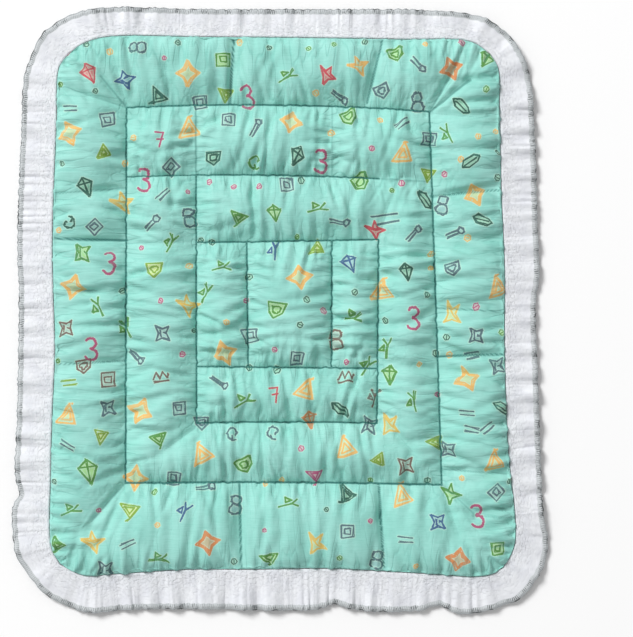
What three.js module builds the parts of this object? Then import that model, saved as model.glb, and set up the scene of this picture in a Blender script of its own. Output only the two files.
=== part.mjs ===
// A quilted baby mattress with a gathered ruffle, lying flat on its back.
// Units are millimetres. +X is the right side and +Y the head end, seen from above; +Z is up.
// The origin is on the surface it lies on, under the middle of the whole outline.
import * as THREE from "three";

// Heights above the surface
const CROWN = 26; // top of a full channel
const STITCH_TOP = 8; // top cloth under a quilting line
const STITCH_BACK = 4; // back cloth over a quilting line
const SEAM_TOP = 11; // side seam, where top and back cloth meet the ruffle
const SEAM_BACK = 9;

// Widths
const PUFF_REACH = 40; // from a quilting line to where the channel is full
const EDGE_REACH = 34; // the same from the side seam
const BACK_REACH = 11; // how far the back cloth is lifted beside a quilting line
const PIECE_GAP = 0.3; // between the side seam and the ruffle's gathered edge

// Ruffle
const RUFFLE_THICKNESS = 1.6;
const RUFFLE_ROOT = 10; // height of the middle of its gathered edge
const RUFFLE_EDGE = 3; // least height of the middle of its free edge
const RUFFLE_DROOP = 0.8; // below 1 it falls soonest near the seam
const RUFFLE_WAVE = 7; // how far the largest wave lifts the free edge
const WAVES = 62; // main waves all round
const RUFFLE_STEP = 6.8; // between one point and the next round it
const RUFFLE_LONGEST = 90; // no part of it stands out further than this from the seam
const RUFFLE_ACROSS = [0, 0.5, 1]; // rows from the gathered edge to the free edge

// Quilting lines across the mattress, as heights at the left end, in the middle and at the right end
const LINE_ROWS = [
  { name: "frame head", left: 241, middle: 244, right: 235 },
  { name: "block head", left: 158, middle: 160, right: 151 },
  { name: "centre head", left: 79, middle: 81, right: 85 },
  { name: "centre foot", left: -68, middle: -70, right: -72 },
  { name: "block foot", left: -140, middle: -135, right: -140 },
  { name: "frame foot", left: -208, middle: -207, right: -210 },
];

// Quilting lines up the mattress, as places at the head end and at the foot end
const LINE_COLUMNS = [
  { name: "frame left", head: -184, foot: -185 },
  { name: "block left", head: -101, foot: -100 },
  { name: "centre left", head: -42, foot: -37 },
  { name: "centre right", head: 62, foot: 61 },
  { name: "block right", head: 119, foot: 115 },
  { name: "frame right", head: 178, foot: 193 },
];

// How firmly each stretch of a line is held down: 1 is stitched, less is a crease in the filling.
// A row's stretches run left to right and a column's run head to foot.
const ROW_HOLD = [
  [1, 1, 1, 1, 1],
  [0.85, 1, 1, 1, 0.5],
  [0.35, 1, 1, 1, 0],
  [0, 1, 1, 1, 0.3],
  [0, 1, 1, 1, 0],
  [1, 1, 1, 1, 1],
];
const COLUMN_HOLD = [
  [1, 1, 1, 1, 1],
  [0.6, 1, 1, 1, 0],
  [0, 0, 1, 0, 0],
  [0.5, 0, 1, 0, 0],
  [0, 0.35, 1, 1, 0],
  [1, 1, 1, 1, 1],
];

// Mesh steps between one line and the next
const COLUMN_STEPS = [6, 5, 7, 5, 6];
const ROW_STEPS = [6, 6, 9, 5, 6];

// How the outlines are divided into points
const CORNER_CROWDING = 0.55; // 0 spaces the points evenly, and 1 bunches them fully into the corners
const CURVE_DIVISIONS = 400; // for measuring along a side
const FREE_EDGE_STEPS = 160; // along each side of the free edge, from which the ruffle's reach is taken

// Creases across the outer channel: the side, the place along it, and how firmly the cloth is drawn in
const FRAME_CREASES = [
  { side: "head", at: -133, hold: 0.35 },
  { side: "head", at: -60, hold: 0.6 },
  { side: "head", at: 110, hold: 0.55 },
  { side: "right", at: 136, hold: 0.55 },
  { side: "right", at: 85, hold: 0.35 },
  { side: "right", at: 0, hold: 0.35 },
  { side: "right", at: -57, hold: 0.6 },
  { side: "right", at: -192, hold: 0.4 },
  { side: "foot", at: 118, hold: 0.6 },
  { side: "foot", at: -49, hold: 0.55 },
  { side: "left", at: -100, hold: 0.35 },
  { side: "left", at: -62, hold: 0.4 },
  { side: "left", at: 6, hold: 0.3 },
  { side: "left", at: 80, hold: 0.6 },
  { side: "left", at: 140, hold: 0.4 },
];

// The side seam as x, y points, clockwise, from the middle of one corner to the middle of the next
const SEAM_CORNERS = {
  headLeft: [-256, 307],
  headRight: [253, 306],
  footRight: [266, -309],
  footLeft: [-263, -305],
};
const SEAM_SIDES = {
  head: [
    SEAM_CORNERS.headLeft,
    ...[[-241, 317], [-207, 325], [-96, 325], [24, 324], [144, 322], [228, 320]],
    SEAM_CORNERS.headRight,
  ],
  right: [
    SEAM_CORNERS.headRight,
    ...[[261, 292], [262, 238], [264, 142], [268, 46], [268, -50], [272, -164], [280, -280]],
    SEAM_CORNERS.footRight,
  ],
  foot: [
    SEAM_CORNERS.footRight,
    ...[[247, -318], [156, -315], [60, -310], [-36, -311], [-108, -311], [-204, -317], [-235, -318]],
    SEAM_CORNERS.footLeft,
  ],
  left: [
    SEAM_CORNERS.footLeft,
    ...[[-273, -285], [-274, -194], [-272, -122], [-269, -50]],
    ...[[-271, 22], [-272, 82], [-267, 226], [-265, 292]],
    SEAM_CORNERS.headLeft,
  ],
};

// The ruffle's free edge in the same way, with the steps and bays that it shows
const FREE_CORNERS = {
  headLeft: [-287, 326],
  headRight: [276, 326],
  footRight: [288, -347],
  footLeft: [-280, -343],
};
const FREE_SIDES = {
  head: [
    FREE_CORNERS.headLeft,
    ...[[-257, 349], [-207, 360], [-170, 360], [-96, 358], [40, 358], [189, 356], [243, 348]],
    FREE_CORNERS.headRight,
  ],
  right: [
    FREE_CORNERS.headRight,
    ...[[296, 286], [304, 198], [307, 98], [309, 36], [305, 10]],
    ...[[307, -72], [311, -186], [315, -254], [319, -270], [316, -304]],
    FREE_CORNERS.footRight,
  ],
  foot: [
    FREE_CORNERS.footRight,
    ...[[236, -363], [212, -364], [190, -354], [168, -360], [108, -361], [80, -357], [64, -352]],
    ...[[48, -358], [-98, -358], [-182, -359], [-233, -362]],
    FREE_CORNERS.footLeft,
  ],
  left: [
    FREE_CORNERS.footLeft,
    ...[[-314, -299], [-319, -276], [-319, -234], [-311, -222], [-316, -206], [-314, -122]],
    ...[[-312, 20], [-314, 80], [-309, 214], [-305, 281]],
    FREE_CORNERS.headLeft,
  ],
};
const SIDES = ["head", "right", "foot", "left"];

const lerp = (a, b, t) => a + (b - a) * t;
const mix = (p, q, t) => [lerp(p[0], q[0], t), lerp(p[1], q[1], t)];
const sum = (list) => list.reduce((a, b) => a + b, 0);

// A quarter-round rise from 0 at a stitched line to 1 where the channel is full
function swell(distance, reach) {
  const left = 1 - Math.min(distance / reach, 1);
  return Math.sqrt(1 - left * left);
}

// Steps between two lines, closer together near each line, where the cloth turns down
function bandSteps(count) {
  return Array.from({ length: count }, (_, i) => 0.5 - 0.5 * Math.cos((Math.PI * i) / count));
}

// The grid's steps along one direction, each as a line number plus a share of the way to the next
function gridSteps(counts) {
  const steps = counts.flatMap((count, band) => bandSteps(count).map((t) => band + t));
  return [...steps, counts.length];
}

const COLUMN_LIMITS = [LINE_COLUMNS[0].head, LINE_COLUMNS.at(-1).foot];
const ROW_LIMITS = [LINE_ROWS[0].middle, LINE_ROWS.at(-1).middle];

function columnPlace(column, y) {
  const line = LINE_COLUMNS[column];
  return lerp(line.head, line.foot, (ROW_LIMITS[0] - y) / (ROW_LIMITS[0] - ROW_LIMITS[1]));
}

function rowPlace(row, x) {
  const line = LINE_ROWS[row];
  const t = (x - COLUMN_LIMITS[0]) / (COLUMN_LIMITS[1] - COLUMN_LIMITS[0]);
  const bow = line.middle - (line.left + line.right) / 2;
  return lerp(line.left, line.right, t) + bow * 4 * t * (1 - t);
}

// Where a whole column line crosses a whole row line
function crossing(column, row) {
  let x = LINE_COLUMNS[column].head;
  let y = LINE_ROWS[row].middle;
  for (let pass = 0; pass < 3; pass += 1) {
    x = columnPlace(column, y);
    y = rowPlace(row, x);
  }
  return [x, y];
}

// A point of the grid between the lines
function gridPoint(columnStep, rowStep) {
  const column = Math.min(Math.floor(columnStep), LINE_COLUMNS.length - 2);
  const row = Math.min(Math.floor(rowStep), LINE_ROWS.length - 2);
  const across = columnStep - column;
  const headSide = mix(crossing(column, row), crossing(column + 1, row), across);
  const footSide = mix(crossing(column, row + 1), crossing(column + 1, row + 1), across);
  return mix(headSide, footSide, rowStep - row);
}

// Every stretch of line that holds the cloth down, as two ends and a hold
function quiltingStretches() {
  const inRows = ROW_HOLD.flatMap((holds, row) =>
    holds.map((hold, i) => ({ from: crossing(i, row), to: crossing(i + 1, row), hold })),
  );
  const inColumns = COLUMN_HOLD.flatMap((holds, column) =>
    holds.map((hold, i) => ({ from: crossing(column, i), to: crossing(column, i + 1), hold })),
  );
  return [...inRows, ...inColumns].filter(({ hold }) => hold > 0);
}

// One side of an outline, as count + 1 points, closer together towards the corners
function sidePoints(rows, count) {
  const knots = rows.map(([x, y]) => new THREE.Vector3(x, y, 0));
  const curve = new THREE.CatmullRomCurve3(knots, false, "centripetal");
  curve.arcLengthDivisions = CURVE_DIVISIONS;
  return Array.from({ length: count + 1 }, (_, i) => {
    const t = i / count;
    const eased = t - (CORNER_CROWDING * Math.sin(2 * Math.PI * t)) / (2 * Math.PI);
    const { x, y } = curve.getPointAt(Math.min(eased, 1));
    return [x, y];
  });
}

// A whole outline, clockwise, without repeating a corner
function outline(sides, counts) {
  return SIDES.flatMap((side, i) => sidePoints(sides[side], counts[i]).slice(0, -1));
}

// The grid's own edge in the same order, as pairs of step numbers
function gridEdge(columns, rows) {
  const last = [columns.length - 1, rows.length - 1];
  const along = (count, place) => Array.from({ length: count }, (_, i) => place(i));
  return [
    ...along(last[0], (i) => [i, 0]),
    ...along(last[1], (i) => [last[0], i]),
    ...along(last[0], (i) => [last[0] - i, last[1]]),
    ...along(last[1], (i) => [0, last[1] - i]),
  ];
}

function distanceTo({ from, to }, [x, y]) {
  const [dx, dy] = [to[0] - from[0], to[1] - from[1]];
  const along = ((x - from[0]) * dx + (y - from[1]) * dy) / (dx * dx + dy * dy);
  const t = Math.min(Math.max(along, 0), 1);
  return Math.hypot(x - from[0] - t * dx, y - from[1] - t * dy);
}

// Which ray of the outer channel a crease follows, from its side and its place along that side
function creaseRay({ side, at }, edge) {
  const onHeadOrFoot = side === "head" || side === "foot";
  const counts = [sum(COLUMN_STEPS), sum(ROW_STEPS), sum(COLUMN_STEPS), sum(ROW_STEPS)];
  const number = SIDES.indexOf(side);
  const start = sum(counts.slice(0, number));
  const misses = Array.from({ length: counts[number] - 1 }, (_, i) => {
    const point = edge[start + i + 1];
    return Math.abs((onHeadOrFoot ? point[0] : point[1]) - at);
  });
  return start + 1 + misses.indexOf(Math.min(...misses));
}

// The filling is a little uneven from place to place
function lump([x, y]) {
  return 1 + 0.035 * Math.sin(x / 31 + 1.3) * Math.cos(y / 37) + 0.02 * Math.sin((x + 2 * y) / 23);
}

// A closed surface, built from shared points
class Skin {
  points = [];
  faces = [];

  point(x, y, z) {
    this.points.push(x, y, z);
    return this.points.length / 3 - 1;
  }

  loop(places, heights) {
    return places.map(([x, y], i) => this.point(x, y, heights[i]));
  }

  quad(a, b, c, d) {
    this.faces.push(a, b, c, a, c, d);
  }

  // A closed strip between two loops; its faces point up where the first loop is the outer one
  strip(outer, inner) {
    outer.forEach((point, i) => {
      const next = (i + 1) % outer.length;
      this.quad(point, inner[i], inner[next], outer[next]);
    });
  }

  strips(loops) {
    loops.slice(1).forEach((loop, i) => this.strip(loops[i], loop));
  }

  geometry() {
    const made = new THREE.BufferGeometry();
    made.setAttribute("position", new THREE.Float32BufferAttribute(this.points, 3));
    made.setIndex(this.faces);
    made.computeVertexNormals();
    return made;
  }
}

// Cross-section of the outer channel on top: how far past the seam, and the share of the full height there
const SIDE_SWELL = [
  { past: 2.6, share: 0.26 },
  { past: 2.2, share: 0.6 },
  { past: -3, share: 0.84 },
];
const TOP_SHARES = [0.16, 0.34, 0.56, 0.76, 0.9]; // the rest of the way in to the frame's quilting line
// Cross-section of the outer channel underneath
const BACK_SWELL = [
  { past: 0.8, height: 5.5 },
  { past: -6, height: 1 },
  { past: -16, height: 0 },
];
const BACK_SHARES = [0.55, 0.86];

function padGeometry() {
  const skin = new Skin();
  const columns = gridSteps(COLUMN_STEPS);
  const rows = gridSteps(ROW_STEPS);
  const grid = rows.map((row) => columns.map((column) => gridPoint(column, row)));
  const edgeSteps = gridEdge(columns, rows);
  const frameLine = edgeSteps.map(([column, row]) => grid[row][column]);
  const counts = [sum(COLUMN_STEPS), sum(ROW_STEPS), sum(COLUMN_STEPS), sum(ROW_STEPS)];
  const seam = outline(SEAM_SIDES, counts);
  const stretches = quiltingStretches();
  const creases = FRAME_CREASES.map((crease) => {
    const ray = creaseRay(crease, seam);
    return { from: seam[ray], to: frameLine[ray], hold: crease.hold };
  });

  const fullness = (point) =>
    [...stretches, ...creases].reduce(
      (full, line) => full * (1 - line.hold * (1 - swell(distanceTo(line, point), PUFF_REACH))),
      1,
    );
  const topHeight = (point) => STITCH_TOP + (CROWN - STITCH_TOP) * fullness(point) * lump(point);
  const backHeight = (point) => {
    const firm = stretches.filter((line) => line.hold >= 0.85);
    const nearest = Math.min(...firm.map((line) => distanceTo(line, point)));
    return STITCH_BACK * (1 - swell(nearest, BACK_REACH));
  };

  // Rays of the outer channel, from the seam to the frame's quilting line
  const rays = seam.map((from, i) => {
    const to = frameLine[i];
    const length = Math.hypot(to[0] - from[0], to[1] - from[1]);
    const inwards = (distance) => mix(from, to, distance / length);
    const full = topHeight(inwards(EDGE_REACH));
    return { from, to, inwards, full, plump: (full - STITCH_TOP) / (CROWN - STITCH_TOP) };
  });
  const swollen = SIDE_SWELL.map(({ past, share }) =>
    skin.loop(
      rays.map((ray) => ray.inwards(-past * ray.plump)),
      rays.map((ray) => lerp(SEAM_TOP, ray.full, share)),
    ),
  );
  const sloping = TOP_SHARES.map((share) => {
    const places = rays.map((ray) => mix(ray.from, ray.to, share));
    const heights = places.map((place, i) => {
      const fromSeam = Math.hypot(place[0] - rays[i].from[0], place[1] - rays[i].from[1]);
      return lerp(SEAM_TOP, topHeight(place), swell(fromSeam, EDGE_REACH));
    });
    return skin.loop(places, heights);
  });

  const gridSkin = (height) => grid.map((line) => line.map((place) => skin.point(...place, height(place))));
  const edgeOf = (skinGrid) => edgeSteps.map(([column, row]) => skinGrid[row][column]);
  const fill = (skinGrid, face) => {
    for (let row = 0; row < rows.length - 1; row += 1)
      for (let column = 0; column < columns.length - 1; column += 1)
        face(
          skinGrid[row][column],
          skinGrid[row + 1][column],
          skinGrid[row + 1][column + 1],
          skinGrid[row][column + 1],
        );
  };

  const top = gridSkin(topHeight);
  const topRim = skin.loop(seam, seam.map(() => SEAM_TOP));
  skin.strips([topRim, ...swollen, ...sloping, edgeOf(top)]);
  fill(top, (a, b, c, d) => skin.quad(a, b, c, d));

  const back = gridSkin(backHeight);
  const backRim = skin.loop(seam, seam.map(() => SEAM_BACK));
  const backSwollen = BACK_SWELL.map(({ past, height }) =>
    skin.loop(rays.map((ray) => ray.inwards(-past)), rays.map(() => height)),
  );
  const backFlat = BACK_SHARES.map((share) => {
    const places = rays.map((ray) => mix(ray.from, ray.to, share));
    return skin.loop(places, places.map(backHeight));
  });
  skin.strips([edgeOf(back), ...backFlat.reverse(), ...backSwollen.reverse(), backRim, topRim]);
  fill(back, (a, b, c, d) => skin.quad(a, d, c, b));
  return { geometry: skin.geometry(), seam };
}

// Points round a closed polygon, with its corners among them: each has its outward direction and its
// share of the way round
function roundPolygon(polygon, step) {
  const ends = polygon.map((_, i) => polygon[(i + 1) % polygon.length]);
  const lengths = polygon.map((point, i) => Math.hypot(ends[i][0] - point[0], ends[i][1] - point[1]));
  const total = sum(lengths);
  const outward = (i) => {
    const j = (i + polygon.length) % polygon.length;
    return [-(ends[j][1] - polygon[j][1]) / lengths[j], (ends[j][0] - polygon[j][0]) / lengths[j]];
  };
  let passed = 0;
  return polygon.flatMap((point, side) => {
    const count = Math.max(1, Math.round(lengths[side] / step));
    const start = mix(outward(side - 1), outward(side), 0.5);
    const end = mix(outward(side), outward(side + 1), 0.5);
    const placed = Array.from({ length: count }, (_, i) => {
      const [x, y] = mix(start, end, i / count);
      const size = Math.hypot(x, y);
      return {
        at: mix(point, ends[side], i / count),
        out: [x / size, y / size],
        share: (passed + (lengths[side] * i) / count) / total,
      };
    });
    passed += lengths[side];
    return placed;
  });
}

// Height of the ruffle's wave at a place round it, from 0 to 1, uneven in length and in size
function wave(place) {
  const turn = 2 * Math.PI * place;
  const phase = WAVES * turn + 1.6 * Math.sin(7 * turn + 1) + 1.1 * Math.sin(17 * turn + 2.4);
  const size = 0.62 + 0.24 * Math.sin(5 * turn + 0.7) + 0.14 * Math.sin(13 * turn);
  return size * (0.5 + 0.5 * Math.sin(phase));
}

function ruffleGeometry(seam) {
  const skin = new Skin();
  const half = RUFFLE_THICKNESS / 2;
  const root = roundPolygon(seam, RUFFLE_STEP);
  const free = outline(FREE_SIDES, SIDES.map(() => FREE_EDGE_STEPS));
  // Each point of the gathered edge runs out to the free edge in its own outward direction
  const reachOf = ({ at, out }) => {
    const offLine = ([x, y]) => Math.abs((x - at[0]) * out[1] - (y - at[1]) * out[0]);
    const outwards = ([x, y]) => (x - at[0]) * out[0] + (y - at[1]) * out[1];
    const ahead = free.filter((point) => outwards(point) > 0 && outwards(point) < RUFFLE_LONGEST);
    return outwards(ahead.reduce((best, point) => (offLine(point) < offLine(best) ? point : best)));
  };
  const places = (share) =>
    root.map((ray) => {
      const reach = lerp(PIECE_GAP, reachOf(ray), share);
      return [ray.at[0] + ray.out[0] * reach, ray.at[1] + ray.out[1] * reach];
    });
  const heights = (share, offset) => {
    const falling = lerp(RUFFLE_ROOT, RUFFLE_EDGE, share ** RUFFLE_DROOP);
    return root.map((ray) => falling + RUFFLE_WAVE * share * wave(ray.share) + offset);
  };
  const topRows = RUFFLE_ACROSS.map((share) => skin.loop(places(share), heights(share, half)));
  const backRows = RUFFLE_ACROSS.map((share) => skin.loop(places(share), heights(share, -half)));
  skin.strips([...[...topRows].reverse(), ...backRows]);
  skin.strip(backRows.at(-1), topRows.at(-1));
  return skin.geometry();
}

function cloth(colour) {
  return new THREE.MeshStandardMaterial({ color: colour, roughness: 0.9, metalness: 0 });
}

function mattress() {
  const { geometry: padShape, seam } = padGeometry();
  const pad = new THREE.Mesh(padShape, cloth("#8fd8c6"));
  pad.name = "quilted_pad";
  const ruffle = new THREE.Mesh(ruffleGeometry(seam), cloth("#f1f2f5"));
  ruffle.name = "gathered_ruffle";
  const middle = new THREE.Box3().setFromBufferAttribute(ruffle.geometry.getAttribute("position"));
  const centre = middle.getCenter(new THREE.Vector3());
  const group = new THREE.Group();
  group.add(pad, ruffle);
  group.position.set(-centre.x, -centre.y, 0);
  return group;
}

export default mattress();
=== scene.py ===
# %% [markdown]
# # A quilted baby mattress with a gathered ruffle
#
# The real thing is sewn from two cloths. A mint green printed cotton is laid over soft filling and a plain
# back, and lines of stitching hold the three together in rectangles, one inside another. A strip of white
# cotton, gathered along one edge, is caught in the side seam all round.
#
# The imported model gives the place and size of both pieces. Here each gets the cloth that the eye sees: the
# pad is a simulated, filled form, and the ruffle is a thin sheet with its gathers and its overlocked hem.

import math
import time
from collections import namedtuple

import bpy
import numpy as np
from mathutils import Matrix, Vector


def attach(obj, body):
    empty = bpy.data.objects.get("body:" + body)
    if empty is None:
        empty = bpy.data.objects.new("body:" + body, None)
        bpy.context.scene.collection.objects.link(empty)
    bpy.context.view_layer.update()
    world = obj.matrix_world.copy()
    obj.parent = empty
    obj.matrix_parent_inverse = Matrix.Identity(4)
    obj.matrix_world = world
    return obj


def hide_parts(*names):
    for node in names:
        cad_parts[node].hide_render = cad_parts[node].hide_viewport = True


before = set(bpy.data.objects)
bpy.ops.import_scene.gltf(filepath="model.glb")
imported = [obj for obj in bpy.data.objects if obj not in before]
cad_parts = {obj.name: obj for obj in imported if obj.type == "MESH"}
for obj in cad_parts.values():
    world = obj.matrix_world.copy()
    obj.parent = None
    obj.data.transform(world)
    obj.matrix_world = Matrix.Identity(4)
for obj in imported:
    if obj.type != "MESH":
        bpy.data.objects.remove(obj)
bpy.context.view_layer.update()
scene = bpy.context.scene
scene.view_settings.view_transform = "Standard"

# %% [markdown]
# ## The plan
#
# A quilter marks the cloth flat before sewing it, so the plan comes first: the lines of stitching, the
# side seam and the ruffle's free edge, all in millimetres seen from above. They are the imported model's
# lines, with the pad's two head corners 3 mm further in. A long table of points could hold all of this, but
# short tables of lines are easier to read and to change, and every mesh below is worked out from them.

# %% Sizes and heights, in millimetres
MM = 0.001
PLAN_MIDDLE = np.array((-0.7, -2.0))  # the middle of the whole outline, in the plan's own measure

CROWN = 25.0  # top of a full channel
STITCH_TOP = 7.0  # top cloth under a quilting line
STITCH_BACK = 4.0  # back cloth over a quilting line
SEAM_TOP = 11.0  # side seam, at the top cloth
SEAM_BACK = 9.0  # side seam, at the back cloth
PUFF_REACH = 44.0  # from a quilting line to where the channel is full
EDGE_REACH = 44.0  # the same from the side seam
STEEP_REACH = 10.0  # how far the steep side of a channel reaches
STEEP_SHARE = 0.25  # and how much of the rise it makes
SOFT_BOTTOM = 3.0  # how far the rounded bottom of a crease reaches
BACK_REACH = 11.0  # how far the back cloth is lifted beside a quilting line

# %% Quilting lines
Row = namedtuple("Row", "left middle right")
Column = namedtuple("Column", "head foot")
LINE_ROWS = [Row(241, 244, 235), Row(158, 160, 151), Row(79, 81, 85),
             Row(-68, -70, -72), Row(-140, -135, -140), Row(-208, -207, -210)]
LINE_COLUMNS = [Column(-184, -185), Column(-101, -100), Column(-42, -37),
                Column(62, 61), Column(119, 115), Column(178, 193)]

# How firmly each stretch is held: 1 is stitched, less is a crease. Rows run left to right, columns down.
ROW_HOLD = [(1, 1, 1, 1, 1), (0.85, 1, 1, 1, 0.5), (0.35, 1, 1, 1, 0),
            (0, 1, 1, 1, 0.3), (0, 1, 1, 1, 0), (1, 1, 1, 1, 1)]
COLUMN_HOLD = [(1, 1, 1, 1, 1), (0.6, 1, 1, 1, 0), (0, 0, 1, 0, 0),
               (0.5, 0, 1, 0, 0), (0, 0.35, 1, 1, 0), (1, 1, 1, 1, 1)]
STITCHED = 0.8  # a stretch held this firmly or more has thread in it
PINNED = 0.5  # one held this firmly or more keeps its place while the cloth swells

# Creases that are only drawn in by the filling: both ends and the hold
CREASE_GAIN = 1.25  # each is held this many times as firmly as listed
FIRMEST_CREASE = 0.78  # but less firmly than a stitched line
Crease = namedtuple("Crease", "x0 y0 x1 y1 hold")
CREASES = [
    Crease(-133, 244, -137, 290, 0.4), Crease(-60, 246, -56, 322, 0.6), Crease(-12, 246, -6, 290, 0.3),
    Crease(104, 246, 122, 322, 0.55), Crease(180, 135, 262, 142, 0.55), Crease(184, 87, 262, 80, 0.4),
    Crease(186, 1, 264, -3, 0.5), Crease(186, -57, 266, -54, 0.6), Crease(192, -192, 272, -197, 0.45),
    Crease(230, -247, 278, -249, 0.4), Crease(118, -212, 124, -312, 0.7), Crease(-49, -210, -47, -308, 0.6),
    Crease(-184, -62, -268, -66, 0.5), Crease(-225, 6, -268, 4, 0.35), Crease(-184, 82, -270, 84, 0.65),
    Crease(-184, 145, -266, 138, 0.45), Crease(118, 86, 130, 127, 0.4), Crease(136, -146, 158, -170, 0.35),
    Crease(-102, -142, -138, -168, 0.4), Crease(-49, -178, -49, -207, 0.35),
    Crease(-184, 241, -215, 279, 0.45), Crease(-184, 241, -201, 310, 0.4), Crease(-184, 241, -250, 262, 0.4),
    Crease(-180, 244, -168, 300, 0.3), Crease(178, 235, 228, 274, 0.5), Crease(178, 235, 210, 290, 0.45),
    Crease(178, 235, 256, 226, 0.4), Crease(193, -210, 236, -248, 0.4), Crease(193, -210, 212, -270, 0.35),
    Crease(-185, -208, -226, -254, 0.4), Crease(-185, -208, -214, -280, 0.3),
]

# %% Outlines: the side seam and the ruffle's free edge, each side from corner middle to corner middle
SEAM_SIDES = [
    [(-253, 304), (-237, 316), (-207, 325), (-96, 325), (24, 324), (144, 322), (228, 319), (251, 304)],
    [(251, 304), (260, 288), (262, 238), (264, 142), (268, 46), (268, -50), (272, -164), (280, -280),
     (266, -309)],
    [(266, -309), (247, -318), (156, -315), (60, -310), (-36, -311), (-108, -311), (-204, -317),
     (-235, -318), (-263, -305)],
    [(-263, -305), (-273, -285), (-274, -194), (-272, -122), (-269, -50), (-271, 22), (-272, 82),
     (-267, 226), (-264, 288), (-253, 304)],
]
FREE_SIDES = [
    [(-287, 326), (-257, 349), (-207, 360), (-170, 360), (-96, 358), (40, 358), (189, 356), (243, 348),
     (276, 326)],
    [(276, 326), (296, 286), (304, 198), (307, 98), (309, 36), (305, 10), (307, -72), (311, -186),
     (315, -254), (319, -270), (316, -304), (288, -347)],
    [(288, -347), (236, -363), (212, -364), (190, -354), (168, -360), (108, -361), (80, -357), (64, -352),
     (48, -358), (-98, -358), (-182, -359), (-233, -362), (-280, -343)],
    [(-280, -343), (-314, -299), (-319, -276), (-319, -234), (-311, -222), (-316, -206), (-314, -122),
     (-312, 20), (-314, 80), (-309, 214), (-305, 281), (-287, 326)],
]


def line_x(column, y):
    """Where a column's line lies at a height y on the plan."""
    line = LINE_COLUMNS[column]
    head, foot = LINE_ROWS[0].middle, LINE_ROWS[-1].middle
    return line.head + (line.foot - line.head) * (head - y) / (head - foot)


def line_y(row, x):
    """Where a row's line lies at a place x on the plan; it is a shallow bow through its three heights."""
    line = LINE_ROWS[row]
    left, right = LINE_COLUMNS[0].head, LINE_COLUMNS[-1].foot
    share = (x - left) / (right - left)
    bow = line.middle - (line.left + line.right) / 2
    return line.left + (line.right - line.left) * share + bow * 4 * share * (1 - share)


def crossing(column, row):
    """Where two lines meet, by three rounds of correction."""
    x, y = LINE_COLUMNS[column].head, LINE_ROWS[row].middle
    for _ in range(3):
        x = line_x(column, y)
        y = line_y(row, x)
    return np.array((x, y))


CROSSINGS = np.array([[crossing(column, row) for column in range(6)] for row in range(6)])


Line = namedtuple("Line", "start end hold")


def held_lines():
    """Every stretch of quilting that is held at all."""
    lines = []
    for row, holds in enumerate(ROW_HOLD):
        places = CROSSINGS[row]
        lines += [Line(a, b, hold) for a, b, hold in zip(places, places[1:], holds) if hold]
    for column, holds in enumerate(COLUMN_HOLD):
        places = CROSSINGS[:, column]
        lines += [Line(a, b, hold) for a, b, hold in zip(places, places[1:], holds) if hold]
    return lines


QUILTING = held_lines()
SOFT_CREASES = [Line(np.array((c.x0, c.y0)), np.array((c.x1, c.y1)),
                     min(CREASE_GAIN * c.hold, FIRMEST_CREASE)) for c in CREASES]
print(len(QUILTING), "stretches of quilting and", len(SOFT_CREASES), "soft creases")


# %% Curves through a few points
def smooth_curve(knots, count, crowding=0.0):
    """count + 1 places along a centripetal Catmull-Rom curve, bunched towards its ends by crowding."""
    p = np.array(knots, float)
    p = np.vstack([2 * p[0] - p[1], p, 2 * p[-1] - p[-2]])
    u = np.concatenate([[0], np.cumsum(np.linalg.norm(np.diff(p, axis=0), axis=1) ** 0.5)])
    pieces = []
    for i in range(1, len(p) - 2):
        t = np.linspace(u[i], u[i + 1], 40, endpoint=False)[:, None]
        first = ((u[i] - t) * p[i - 1] + (t - u[i - 1]) * p[i]) / (u[i] - u[i - 1])
        second = ((u[i + 1] - t) * p[i] + (t - u[i]) * p[i + 1]) / (u[i + 1] - u[i])
        third = ((u[i + 2] - t) * p[i + 1] + (t - u[i + 1]) * p[i + 2]) / (u[i + 2] - u[i + 1])
        before = ((u[i + 1] - t) * first + (t - u[i - 1]) * second) / (u[i + 1] - u[i - 1])
        after = ((u[i + 2] - t) * second + (t - u[i]) * third) / (u[i + 2] - u[i])
        pieces.append(((u[i + 1] - t) * before + (t - u[i]) * after) / (u[i + 1] - u[i]))
    fine = np.vstack(pieces + [p[-2][None]])
    along = np.concatenate([[0], np.cumsum(np.linalg.norm(np.diff(fine, axis=0), axis=1))])
    share = np.arange(count + 1) / count
    eased = (share - crowding * np.sin(2 * np.pi * share) / (2 * np.pi)) * along[-1]
    return np.column_stack([np.interp(eased, along, fine[:, axis]) for axis in range(2)])


def outline(sides, counts, crowding=0.0):
    """A closed outline, clockwise, with a given number of steps on each side."""
    return np.vstack([smooth_curve(side, n, crowding)[:-1] for side, n in zip(sides, counts)])


def distance_to(line, places):
    """How far places on the plan are from a straight stretch."""
    start, run = line[0], line[1] - line[0]
    share = np.clip((places - start) @ run / (run @ run), 0, 1)
    return np.linalg.norm(places - start - share[..., None] * run, axis=-1)


def swell(distance, reach):
    """A quarter-round rise from 0 at a line to 1 where the channel is full."""
    left = 1 - np.minimum(distance / reach, 1)
    return np.sqrt(1 - left * left)


def crowned(distance):
    """A gentle rise from 0 at a crease to 1 where the channel is full."""
    return 1 - (1 - np.minimum(distance / PUFF_REACH, 1)) ** 2.4


def puff(distance, sewn):
    """A channel's rise from 0 to 1. Beside a sewn line it starts steeply, beside a crease softly."""
    if sewn:
        return STEEP_SHARE * swell(distance, STEEP_REACH) + (1 - STEEP_SHARE) * crowned(distance)
    return crowned(np.hypot(distance, SOFT_BOTTOM) - SOFT_BOTTOM)


# %% [markdown]
# ## The pad's top cloth
#
# The top cloth is one sheet, held down along every quilting line. Voxel remeshing a block would lose
# those narrow lines, so the sheet is laid out as a grid whose edges run along them, with a ring of cells
# from the outermost line out to the side seam. Each cell is about 3.4 mm across.

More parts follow.
